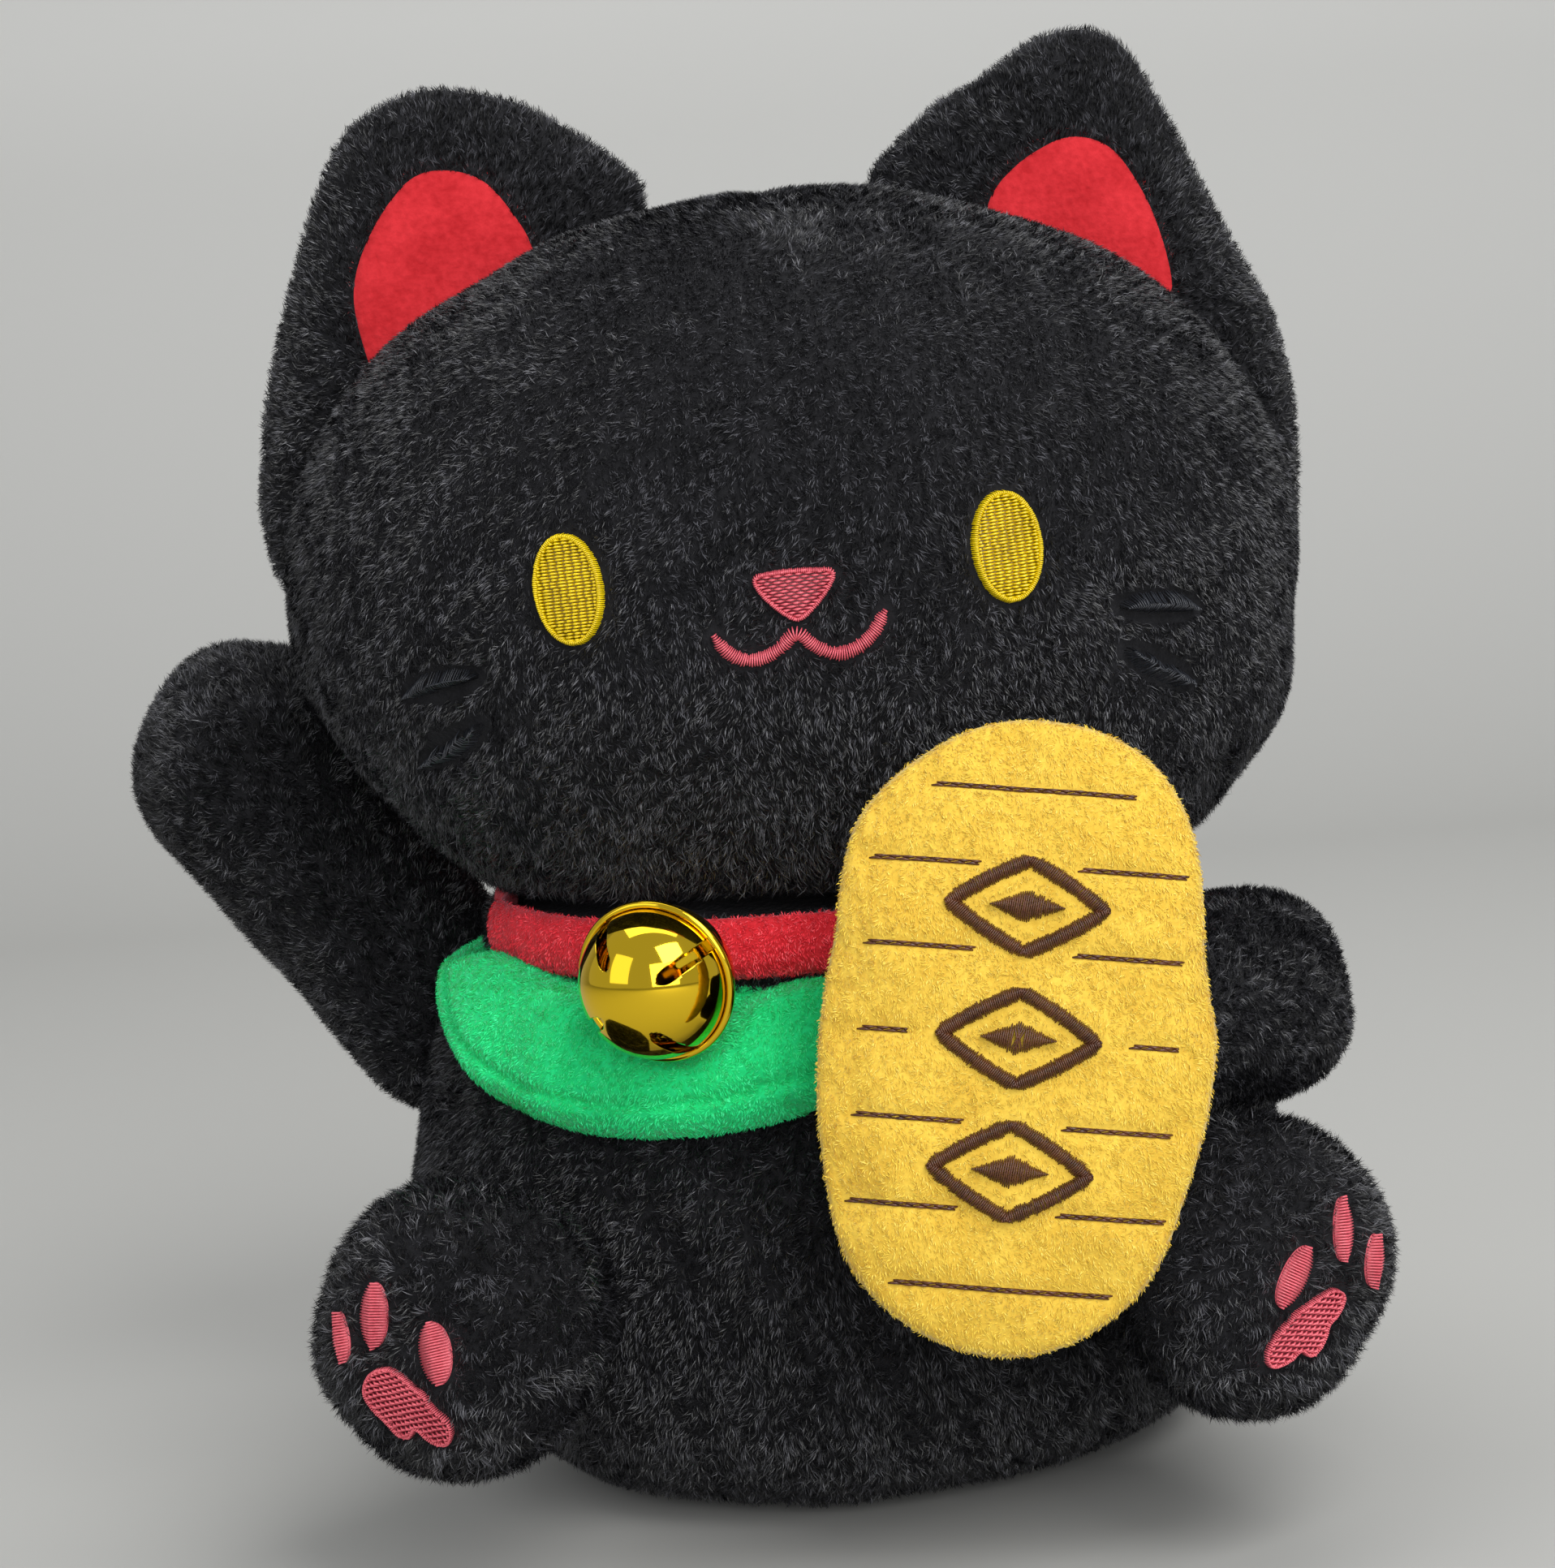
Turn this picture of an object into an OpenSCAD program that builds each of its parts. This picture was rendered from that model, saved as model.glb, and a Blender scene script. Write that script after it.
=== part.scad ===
// Sitting beckoning cat: stuffed pile-fabric toy with a coin, a bib, a collar and a jingle bell.
// X to the viewer's right, -Y towards the viewer, Z up, origin in the middle of the flat base.
// Left and right are the viewer's, looking at the face.

/* [Body] */
// Height of the body from the base to the neck seam
body_h = 119.5; // [112:0.5:122]
// Greatest width of the body
body_w = 179; // [172:1:184]
// Height at which the body is widest
belly_z = 58; // [54:1:62]
// Height of the whole egg that the body is cut from
egg_h = 160; // [154:1:166]
// Depth of the body as a share of its width
body_depth = 0.88; // [0.84:0.01:0.9]
// Thickness of the pile fabric, backing and pile together
skin_t = 4; // [3:0.5:5]
// Height of the seam of the bottom panel above the floor
bottom_seam_z = 6; // [4:0.5:8]

/* [Head] */
// Width of the head
head_w = 205; // [198:1:208]
// Front to back length of the head
head_d = 168; // [164:1:170]
// Height of the head if it weren't flattened at the neck
head_h = 152; // [148:1:156]
// How far the head's middle stands in front of the body's middle
head_forward = 8; // [6:0.5:10]
// Height of the head's middle above the neck seam
head_up = 62; // [60:0.5:64]

/* [Ears] */
// Height of the ear tips above the middle of the head
ear_rise = 102; // [98:1:106]
// Thickness of a padded ear at its root
ear_t = 20; // [17:1:22]
// Thickness of the ear lining
lining_t = 3; // [2:0.5:4]

/* [Face] */
// Distance between the middles of the eyes
eye_gap = 79; // [74:0.5:84]
// Width of an eye
eye_w = 12.8; // [11:0.1:14]
// Height of an eye
eye_h = 20.2; // [18:0.1:22]
// Width of the nose
nose_w = 14; // [12:0.5:16]
// Width of the mouth
mouth_w = 29; // [26:0.5:32]
// Thickness of the embroidery
thread_t = 1.6; // [1.2:0.1:2]

/* [Arms] */
// Radius of the raised paw
paw_r = 26; // [24:0.5:27]
// Radius of the raised arm at the shoulder
shoulder_r = 21; // [19:0.5:22]
// Radius of the coin arm at the shoulder
coin_shoulder_r = 23.5; // [21:0.5:24.5]

/* [Legs] */
// Radius of a foot
foot_r = 27.5; // [25:0.5:28]
// Radius of a leg at the hip
hip_r = 19; // [17:0.5:20]
// Length of a leg from the hip's centre to the sole
leg_len = 53.5; // [51:0.5:56]
// Outward turn of a leg, degrees
leg_splay = 16; // [14:1:20]
// Upward turn of a leg, degrees
leg_rise = 6; // [4:1:8]

/* [Collar and bib] */
// Outer half width of the collar band
collar_r = 71.5; // [71:0.5:73]
// Depth of the collar as a share of its width
collar_depth = 0.98; // [0.96:0.01:1]
// Height of the collar band
collar_h = 11.5; // [10:0.5:12]
// Thickness of the collar band
collar_t = 3.6; // [3:0.1:4]
// Forward tilt of the collar, degrees
collar_tilt = 3; // [2:1:5]
// Thickness of the padded bib
bib_t = 8; // [6:0.5:9]
// Drop of the bib below the collar
bib_drop = 31; // [28:1:34]
// Turn of the collar, bib and bell towards the viewer's left, degrees
collar_turn = 26; // [22:1:30]

/* [Bell] */
// Radius of the bell's rim
bell_r = 15.2; // [14:0.1:16]
// Thickness of the bell's sheet metal
sheet_t = 0.7; // [0.6:0.1:1]
// Width of the bell's slots
slot_w = 1.8; // [1.4:0.1:2.4]
// Radius of the pellet inside the bell
pellet_r = 3.4; // [3:0.1:4]

/* [Coin] */
// Width of the coin
coin_w = 71; // [68:0.5:73]
// Length of the coin
coin_len = 113; // [108:1:115]
// Thickness of the padded coin in its middle
coin_t = 13; // [11:0.5:14]
// Turn of the coin in its own plane, degrees
coin_turn = 9; // [7:1:11]
// Backward lean of the coin's top, degrees
coin_lean = 11; // [9:1:12]

/* [Clearance] */
// Gap between bodies that move against each other
joint_gap = 0.6; // [0.5:0.1:0.8]
// Gap between pieces of one body
seam_gap = 0.12; // [0.1:0.01:0.2]

/* [Hidden] */

$fn = 48;
big = 400;

head_bottom = body_h + 0.6;
head_z = head_bottom + head_up;
head_mid = [0, -head_forward, head_z];

collar_z = body_h - 7.5;

shoulder_raised = [-80, 14, 93];
paw_raised = [-117, 26, 147];
beckon_axis = [0.66, -0.49, 0.57];

shoulder_coin = [83.5, -8, 87];
paw_coin = [54, -80, 96];
paw_coin_r = 17;

hip_x = 62;
hip_y = -56;
hip_z = 49;
leg_swing_max = 14;
sole_in = 20;
sole_turn = 14;

coin_mid = [33, -105.8, 100.3];

bell_dir = [-0.37, -0.92, -0.13];
bell_mid = [-30.2, -84, 112.4];

black = [0.11, 0.11, 0.13];
red = [0.85, 0.12, 0.18];
green = [0.1, 0.7, 0.4];
yellow = [0.95, 0.75, 0.25];
brown = [0.35, 0.2, 0.1];
pink = [0.85, 0.4, 0.45];
white = [0.92, 0.92, 0.9];
gold = [0.9, 0.7, 0.1];
steel = [0.6, 0.62, 0.65];

module egg(at, a, b, c) {
    translate(at)
    scale([a, b, c])
    sphere(r = 1, $fn = 160);
}

function oval(a, b, n) = [for (i = [0 : n - 1]) [a * cos(360 * i / n), b * sin(360 * i / n)]];

// Whole egg of the body, shrunk by inset all round.
module body_egg(inset) {
    egg(
        [0, 0, belly_z],
        body_w / 2 - inset,
        body_w * body_depth / 2 - inset,
        egg_h / 2 - inset
    );
}

module body_form(inset) {
    intersection() {
        body_egg(inset);
        translate([-big / 2, -big / 2, inset])
        cube([big, big, body_h - 2 * inset]);
    }
}

module head_form(inset) {
    intersection() {
        egg(head_mid, head_w / 2 - inset, head_d / 2 - inset, head_h / 2 - inset);
        translate([-big / 2, -big / 2, head_bottom + inset])
        cube(big);
    }
}

// Turns the Z axis into the direction from a to b, with the origin at a.
module aim(a, b) {
    d = b - a;
    translate(a)
    rotate([0, acos(d[2] / norm(d)), atan2(d[1], d[0])])
    children();
}

// Two balls and a cone between them, a little slimmer than the cone that touches both.
module limb(a, ra, b, rb) {
    len = norm(b - a);
    k = (ra - rb) / len;
    c = sqrt(1 - k * k);
    slim = 0.25;
    translate(a)
    sphere(r = ra);
    translate(b)
    sphere(r = rb);
    aim(a, b)
    translate([0, 0, k * ra])
    cylinder(h = len - k * (ra - rb), r1 = ra * c - slim, r2 = rb * c - slim);
}

// Raised arm -----------------------------------------------------------------

module raised_arm_form(inset) {
    limb(shoulder_raised, shoulder_r - inset, paw_raised, paw_r - inset);
}

// Wider than the arm, so that the arm clears its edge when it swings.
module raised_arm_room() {
    raised_arm_form(-joint_gap - 1.3);
}

module raised_arm_skin() {
    color(black)
    difference() {
        raised_arm_form(0);
        raised_arm_form(skin_t);
    }
}

module raised_arm_filling() {
    color(white)
    raised_arm_form(skin_t + seam_gap);
}

// Coin arm and coin ----------------------------------------------------------

module coin_arm_form(inset) {
    limb(shoulder_coin, coin_shoulder_r - inset, paw_coin, paw_coin_r - inset);
}

module coin_arm_room() {
    coin_arm_form(-joint_gap);
}

// The coin's own frame: its face towards -Y, its long axis along Z.
module coin_frame() {
    translate(coin_mid)
    rotate([-coin_lean, 0, 0])
    rotate([0, coin_turn, 0])
    children();
}

function coin_outline(w, h) = [
    for (i = [0 : 47])
    [
        w / 2 * sign(cos(7.5 * i)) * pow(abs(cos(7.5 * i)), 0.82),
        h / 2 * sign(sin(7.5 * i)) * pow(abs(sin(7.5 * i)), 0.94)
    ]
];

module coin_slab(w, h, y0, y1) {
    translate([0, y1, 0])
    rotate([90, 0, 0])
    linear_extrude(height = y1 - y0)
    polygon(coin_outline(w, h));
}

// Pillow of three stacked slabs on each side of the seam, each made shallower by less.
module coin_half(side, inset, less = 0) {
    steps = [[0, 0], [0.22, 2.4], [0.36, 6], [0.5, 14]];
    for (i = [1 : 3]) {
        d = steps[i][0] * coin_t - (i == 3 ? inset : 0) - less;
        trim = 2 * (i == 1 ? inset : steps[i][1] - 2 + inset);
        y0 = side < 0 ? -d : 0;
        y1 = side < 0 ? 0 : d;
        coin_slab(coin_w - trim, coin_len - trim, y0, y1);
    }
}

coin_skin_t = 1.6;

module coin_front() {
    color(yellow)
    coin_frame()
    difference() {
        coin_half(-1, 0);
        translate([0, 0.1, 0])
        coin_half(-1, coin_skin_t);
        coin_art(0.5 + seam_gap);
    }
}

module coin_back() {
    color(yellow)
    difference() {
        coin_frame()
        translate([0, seam_gap, 0])
        difference() {
            coin_half(1, 0);
            translate([0, -0.1, 0])
            coin_half(1, coin_skin_t);
        }
    }
}

module coin_filling() {
    color(white)
    coin_frame() {
        coin_half(-1, coin_skin_t + seam_gap, 2 * seam_gap);
        coin_half(1, coin_skin_t + seam_gap, 2 * seam_gap);
    }
}

module stitch_bar(x0, x1, z, deep) {
    translate([x0, -coin_t / 2 - 0.2, z - 0.55])
    cube([x1 - x0, 0.2 + deep, 1.1]);
}

// Seven rows: one long line at each end and five that the motif interrupts.
module line_rows(deep) {
    stitch_bar(-18, 18, 43.5, deep);
    stitch_bar(-19.5, 19.5, -43.5, deep);
    for (i = [-2 : 2]) {
        inner = i == 0 ? 19.2 : 8.4;
        stitch_bar(-28, -inner, 15 * i, deep);
        stitch_bar(inner, 28, 15 * i, deep);
    }
}

module lozenge(a, b, deep) {
    linear_extrude(height = deep)
    polygon([[-a, 0], [0, b], [a, 0], [0, -b]]);
}

// Plain motif of three stacked lozenges, each a ring with a smaller one inside.
module motif(deep) {
    for (i = [-1 : 1])
        translate([0, -coin_t / 2 - 0.3, 23 * i])
        rotate([-90, 0, 0]) {
            difference() {
                lozenge(16, 9.5, 0.3 + deep);
                translate([0, 0, -1])
                lozenge(11.4, 6.7, 4);
            }
            lozenge(6.2, 3.6, 0.3 + deep);
        }
}

module coin_art(deep) {
    line_rows(deep);
    motif(deep);
}

module coin_lines() {
    color(brown)
    coin_frame()
    line_rows(0.5);
}

module coin_motif() {
    color(brown)
    coin_frame()
    motif(0.5);
}

// Everything in front of the coin's back.
module before_coin_back() {
    coin_frame()
    translate([-big / 2, coin_t / 2 + 2 * seam_gap - big, -big / 2])
    cube(big);
}

module coin_arm_skin() {
    color(black)
    difference() {
        difference() {
            coin_arm_form(0);
            before_coin_back();
        }
        coin_arm_form(skin_t);
    }
}

module coin_arm_filling() {
    color(white)
    coin_arm_form(skin_t + seam_gap);
}

// Legs -----------------------------------------------------------------------

// A leg's own frame: hip at the origin, leg along Z.
module leg_frame(side, angle = 0) {
    translate([side * hip_x, hip_y, hip_z])
    rotate([90 - leg_rise, 0, side * (leg_splay + angle)])
    children();
}

// Frame at the middle of the foot ball, its Z axis square to the sole.
module sole_frame(side) {
    translate([0, 0, leg_len - sole_in])
    rotate([0, side * sole_turn, 0])
    children();
}

// Hip ball and foot ball with their common cone, cut flat at the sole.
module leg_form(side, inset) {
    difference() {
        limb([0, 0, 0], hip_r - inset, [0, 0, leg_len - sole_in], foot_r - inset);
        sole_frame(side)
        translate([-big / 2, -big / 2, sole_in - inset])
        cube(big);
    }
}

// Room in the body for the hip, at rest and at two steps outward.
module leg_room(side) {
    for (angle = [0, leg_swing_max / 2, leg_swing_max])
        leg_frame(side, angle) {
            sphere(r = hip_r + joint_gap);
            cylinder(h = 30, r1 = hip_r + joint_gap, r2 = foot_r + joint_gap);
        }
}

// Four pads on the sole: outward and upward place, lean, half width and half height.
pads = [[-0.5, -10.6, 0, 7.6, 5.6], [-6.4, -0.5, -10, 3.2, 5.2], [4.4, 5.3, 8, 3.2, 5.2], [12.2, -0.4, 20, 2.7, 4.8]];

module pad_columns(side, grow) {
    sole_frame(side)
    for (p = pads)
        translate([p[0] * side, p[1], sole_in - 10])
        rotate([0, 0, -p[2] * side])
        linear_extrude(height = 20)
        polygon(oval(p[3] + grow, p[4] + grow, 20));
}

module leg_skin(side) {
    leg_frame(side)
    difference() {
        leg_form(side, 0);
        leg_form(side, skin_t);
        difference() {
            pad_columns(side, seam_gap);
            leg_form(side, thread_t + seam_gap);
        }
    }
}

module leg_filling(side) {
    leg_frame(side)
    leg_form(side, skin_t + seam_gap);
}

module paw_pads(side) {
    leg_frame(side)
    intersection() {
        pad_columns(side, 0);
        difference() {
            leg_form(side, 0);
            leg_form(side, thread_t);
        }
    }
}

module leg_left_skin() {
    color(black)
    leg_skin(-1);
}

module leg_right_skin() {
    color(black)
    leg_skin(1);
}

module leg_left_filling() {
    color(white)
    leg_filling(-1);
}

module leg_right_filling() {
    color(white)
    leg_filling(1);
}

module paw_pads_left() {
    color(pink)
    paw_pads(-1);
}

module paw_pads_right() {
    color(pink)
    paw_pads(1);
}

// Body -----------------------------------------------------------------------

module limb_rooms() {
    coin_arm_room();
    leg_room(-1);
    leg_room(1);
}

module above(z) {
    translate([-big / 2, -big / 2, z])
    cube(big);
}

module below(z) {
    translate([-big / 2, -big / 2, z - big])
    cube(big);
}

module body_skin() {
    color(black)
    difference() {
        body_form(0);
        body_form(skin_t);
        below(bottom_seam_z);
        raised_arm_room();
        limb_rooms();
    }
}

module bottom_panel() {
    color(black)
    difference() {
        body_form(0);
        body_form(skin_t);
        above(bottom_seam_z - seam_gap);
    }
}

module weight_bag() {
    color(white)
    translate([0, 0, skin_t + 2])
    cylinder(h = 13, r = 38);
}

module body_filling() {
    color(white)
    difference() {
        body_form(skin_t + seam_gap);
        translate([0, 0, skin_t + 2 - seam_gap])
        cylinder(h = 13 + 2 * seam_gap, r = 38 + seam_gap);
        translate(shoulder_raised)
        sphere(r = shoulder_r + joint_gap);
        limb_rooms();
    }
}

// Collar, bib and bell -------------------------------------------------------

module collar_frame() {
    translate([0, 0, collar_z])
    rotate([collar_tilt, 0, 0])
    children();
}

module collar_slab(z0, z1) {
    collar_frame()
    translate([-big / 2, -big / 2, z0])
    cube([big, big, z1 - z0]);
}

// Slice near the middle of a tall egg, so that the band bulges a little.
module collar_egg(r) {
    egg([0, 0, collar_z + collar_h / 2], r, r * collar_depth, 90);
}

module collar() {
    color(red)
    difference() {
        intersection() {
            collar_egg(collar_r);
            collar_slab(0, collar_h);
        }
        collar_egg(collar_r - collar_t);
        raised_arm_room();
        coin_arm_room();
    }
}

// Padded roll that fills the collar up to the neck seam.
module neck_roll() {
    color(black)
    difference() {
        intersection() {
            collar_egg(collar_r - collar_t - seam_gap);
            collar_slab(0.2, collar_h);
            below(body_h);
        }
        body_egg(-seam_gap);
        raised_arm_room();
        coin_arm_room();
    }
}

// Crescent seen from the front of the turned collar, as a long prism.
module bib_prism() {
    rotate([0, 0, -collar_turn])
    translate([0, 0, collar_z - seam_gap])
    rotate([90, 0, 0])
    linear_extrude(height = big)
    scale([62, bib_drop])
    circle(r = 1, $fn = 64);
}

module bib() {
    color(green)
    difference() {
        intersection() {
            body_egg(-bib_t);
            bib_prism();
        }
        body_egg(-seam_gap);
        collar_slab(-seam_gap, 60);
        raised_arm_room();
        coin_arm_room();
        translate(bell_mid)
        sphere(r = bell_r + 1.6);
        translate([-big / 2, 9, 0])
        cube(big);
    }
}

module bell_frame() {
    aim(bell_mid, bell_mid + bell_dir)
    children();
}

bell_in = bell_r - 1.2;

module bell_thread() {
    color(red)
    bell_frame()
    translate([0, 0, -bell_in - 4.85])
    cylinder(h = 0.45, r = 2.6);
}

module bell_cup() {
    difference() {
        sphere(r = bell_in);
        sphere(r = bell_in - sheet_t);
        translate([-big / 2, -big / 2, -big])
        cube(big);
    }
}

module bell_front() {
    color(gold)
    bell_frame()
    difference() {
        translate([0, 0, 0.5])
        bell_cup();
        for (angle = [60, 150, 240, 330])
            rotate([0, 0, angle]) {
                translate([7.5, -slot_w / 2, 0])
                cube([20, slot_w, 20]);
                translate([7.5, 0, 0])
                cylinder(h = 20, r = 1.5 * slot_w / 2);
            }
    }
}

module bell_back() {
    color(gold)
    bell_frame()
    mirror([0, 0, 1])
    translate([0, 0, 0.5])
    bell_cup();
}

module bell_rim() {
    color(gold)
    bell_frame()
    difference() {
        translate([0, 0, -0.45])
        cylinder(h = 0.9, r = bell_r);
        translate([0, 0, -1])
        cylinder(h = 2, r = bell_in - sheet_t);
    }
}

module bell_loop() {
    color(gold)
    bell_frame()
    translate([0, 0, -bell_in - 2.5])
    rotate([90, 0, 0])
    rotate_extrude()
    translate([1.3, 0])
    circle(r = 0.5);
}

module bell_pellet() {
    color(steel)
    translate(bell_mid + [0, 0, -8])
    sphere(r = pellet_r);
}

// Head -----------------------------------------------------------------------

function bezier(p, t) =
    p[0] * pow(1 - t, 3) + 3 * p[1] * t * pow(1 - t, 2)
    + 3 * p[2] * t * t * (1 - t) + p[3] * pow(t, 3);

// Ear outline in the frontal plane, measured from the middle of the head.
function ear_curve(s) = concat(
    [for (i = [0 : 14]) bezier(s[0], i / 15)],
    [for (i = [0 : 15]) bezier(s[1], i / 15)],
    [[40, 8]]
);

ear_shape = [
    [[104, -6], [110, 35], [91, ear_rise], [64, ear_rise]],
    [[64, ear_rise], [50, ear_rise], [30, 86], [8, 55]]
];

lining_shape = [
    [[80, 30], [86, 58], [82, 83], [63, 83]],
    [[63, 83], [50, 83], [44, 68], [42, 50]]
];

module ear_prism(shape, y0, y1) {
    translate([0, y1, 0])
    rotate([90, 0, 0])
    linear_extrude(height = y1 - y0)
    polygon(ear_curve(shape));
}

// Right ear in the head's frame: the outline prism rounded by a flat egg.
module ear_form() {
    intersection() {
        ear_prism(ear_shape, -30, 60);
        translate([58, 16, 35])
        rotate([0, 24, 0])
        scale([58, ear_t / 2 + 2, 84])
        sphere(r = 1, $fn = 96);
    }
}

module ear_pocket(grow) {
    intersection() {
        ear_prism(lining_shape, -40, 60);
        translate([58, 16, 35])
        rotate([0, 24, 0])
        difference() {
            scale([58 + grow, ear_t / 2 + 2 + grow, 84 + grow])
            sphere(r = 1, $fn = 96);
            scale([58 - lining_t, ear_t / 2 + 2 - lining_t, 84 - lining_t])
            sphere(r = 1, $fn = 96);
        }
        translate([-big / 2, -big + 14, -big / 2])
        cube(big);
    }
}

module head_side(side) {
    translate(head_mid)
    mirror([side < 0 ? 1 : 0, 0, 0])
    children();
}

module ear(side) {
    difference() {
        head_side(side)
        difference() {
            ear_form();
            ear_pocket(4);
        }
        head_form(-seam_gap);
    }
}

module ear_lining(side) {
    difference() {
        head_side(side)
        intersection() {
            ear_pocket(-seam_gap);
            ear_prism(lining_shape, -60, 60);
        }
        head_form(-seam_gap);
    }
}

module ear_left() {
    color(black)
    ear(-1);
}

module ear_right() {
    color(black)
    ear(1);
}

module ear_left_lining() {
    color(red)
    ear_lining(-1);
}

module ear_right_lining() {
    color(red)
    ear_lining(1);
}

// Columns that run towards the viewer; each face piece is cut from the head's outer layer.
module face_column(x, z) {
    translate([x, 0, head_z + z])
    rotate([90, 0, 0])
    linear_extrude(height = 150)
    children();
}

module eye_column(side, grow) {
    face_column(side * eye_gap / 2, 2.5)
    scale([eye_w / 2 + grow, eye_h / 2 + grow])
    circle(r = 1, $fn = 64);
}

module nose_column(grow) {
    face_column(0, -2.2)
    polygon([
        [-nose_w / 2 - grow, 3.6 + grow], [nose_w / 2 + grow, 3.6 + grow],
        [nose_w / 2 - 2 + grow, -0.4 - grow], [1.4, -4.4 - grow],
        [-1.4, -4.4 - grow], [-nose_w / 2 + 2 - grow, -0.4 - grow]
    ]);
}

// Two hanging arcs that meet under the nose.
module mouth_column(grow) {
    r = mouth_w / 4 + 0.4;
    for (side = [-1, 1])
        face_column(side * (r - 0.4), -8.4)
        intersection() {
            difference() {
                circle(r = r + 0.8 + grow);
                circle(r = r - 0.8 - grow);
            }
            translate([-20, -20])
            square([40, 20 + grow]);
        }
}

module whisker_columns(grow) {
    for (w = [[66.5, -12.8, 4], [66, -24.3, -12]])
        face_column(w[0], w[1])
        rotate([0, 0, w[2]])
        polygon(oval(6.6 + grow, 1.5 + grow, 16));
}

module stitched() {
    intersection() {
        children();
        difference() {
            head_form(0);
            head_form(thread_t);
        }
    }
}

module head_skin() {
    color(black)
    difference() {
        head_form(0);
        head_form(skin_t);
        intersection() {
            difference() {
                head_form(-3);
                head_form(thread_t + seam_gap);
            }
            union() {
                eye_column(-1, seam_gap);
                eye_column(1, seam_gap);
                nose_column(seam_gap);
                mouth_column(seam_gap);
                whisker_columns(seam_gap);
                mirror([1, 0, 0])
                whisker_columns(seam_gap);
            }
        }
    }
}

module head_filling() {
    color(white)
    head_form(skin_t + seam_gap);
}

module eye_left() {
    color(yellow)
    stitched()
    eye_column(-1, 0);
}

module eye_right() {
    color(yellow)
    stitched()
    eye_column(1, 0);
}

module nose() {
    color(pink)
    stitched()
    nose_column(0);
}

module mouth() {
    color(pink)
    stitched()
    mouth_column(0);
}

module whiskers_left() {
    color(black)
    mirror([1, 0, 0])
    stitched()
    whisker_columns(0);
}

module whiskers_right() {
    color(black)
    stitched()
    whisker_columns(0);
}

body_skin();
body_filling();
bottom_panel();
weight_bag();
neck_roll();
collar();
bib();
bell_thread();
head_skin();
head_filling();
ear_left();
ear_right();
ear_left_lining();
ear_right_lining();
eye_left();
eye_right();
nose();
mouth();
whiskers_left();
whiskers_right();
raised_arm_skin();
raised_arm_filling();
coin_arm_skin();
coin_arm_filling();
coin_front();
coin_back();
coin_filling();
coin_lines();
coin_motif();
leg_left_skin();
leg_left_filling();
paw_pads_left();
leg_right_skin();
leg_right_filling();
paw_pads_right();
bell_front();
bell_back();
bell_rim();
bell_loop();
bell_pellet();
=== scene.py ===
from math import ceil, copysign, cos, degrees, exp, floor, hypot, pi, radians, sin, sqrt

import bmesh
import bpy
import numpy as np
from mathutils import Matrix, Vector
from mathutils.bvhtree import BVHTree
from mathutils.kdtree import KDTree


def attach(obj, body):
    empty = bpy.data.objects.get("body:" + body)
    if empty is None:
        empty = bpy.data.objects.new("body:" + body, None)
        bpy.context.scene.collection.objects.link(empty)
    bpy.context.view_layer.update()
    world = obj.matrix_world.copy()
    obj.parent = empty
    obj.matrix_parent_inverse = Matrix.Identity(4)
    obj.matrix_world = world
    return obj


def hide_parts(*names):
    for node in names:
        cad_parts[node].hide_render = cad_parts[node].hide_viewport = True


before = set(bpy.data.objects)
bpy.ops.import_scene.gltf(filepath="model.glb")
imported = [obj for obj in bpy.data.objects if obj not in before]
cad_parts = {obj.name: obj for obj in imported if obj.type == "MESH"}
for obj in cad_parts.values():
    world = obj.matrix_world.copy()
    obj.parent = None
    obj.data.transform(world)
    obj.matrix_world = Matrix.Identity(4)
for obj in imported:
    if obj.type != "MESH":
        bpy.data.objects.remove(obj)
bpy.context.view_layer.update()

MM = 0.001
HEAD = np.array([0.0, -8.0, 182.1])
BODY = np.array([0.0, 0.0, 58.0])
HEAD_R = np.array([102.5, 84, 76])
BODY_R = np.array([89.5, 78.8, 80])
C_TILT = radians(3)  # the collar's lean
COLLAR_R, COLLAR_Z = 70.0, 117.75
PILE = 1.5  # how far the skins lie inside the CAD surface, in mm
Z_EAR = 182.5


# ---- small helpers
def unit(v):
    v = np.asarray(v, float)
    return v / np.maximum(np.linalg.norm(v, axis=-1, keepdims=True), 1e-9)


def smooth(x, lo, hi):
    t = np.clip((x - lo) / (hi - lo), 0, 1)
    return t * t * (3 - 2 * t)


def turned(x, y, deg):
    c, s = cos(radians(deg)), sin(radians(deg))
    return x * c - y * s, x * s + y * c


def waves(p, size, seed, count=14):
    """Smooth vector noise of about unit strength, with features of the given size in mm."""
    r = np.random.default_rng(seed)
    k = unit(r.normal(size=(count, 3))) * (2 * pi / size) * r.uniform(0.6, 1.5, (count, 1))
    amp = r.normal(size=(count, 3))
    return np.sin(p @ k.T + r.uniform(0, 6.28, count)) @ amp * sqrt(2 / count)


def link(name, data):
    ob = bpy.data.objects.new(name, data)
    bpy.context.scene.collection.objects.link(ob)
    return ob


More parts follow.
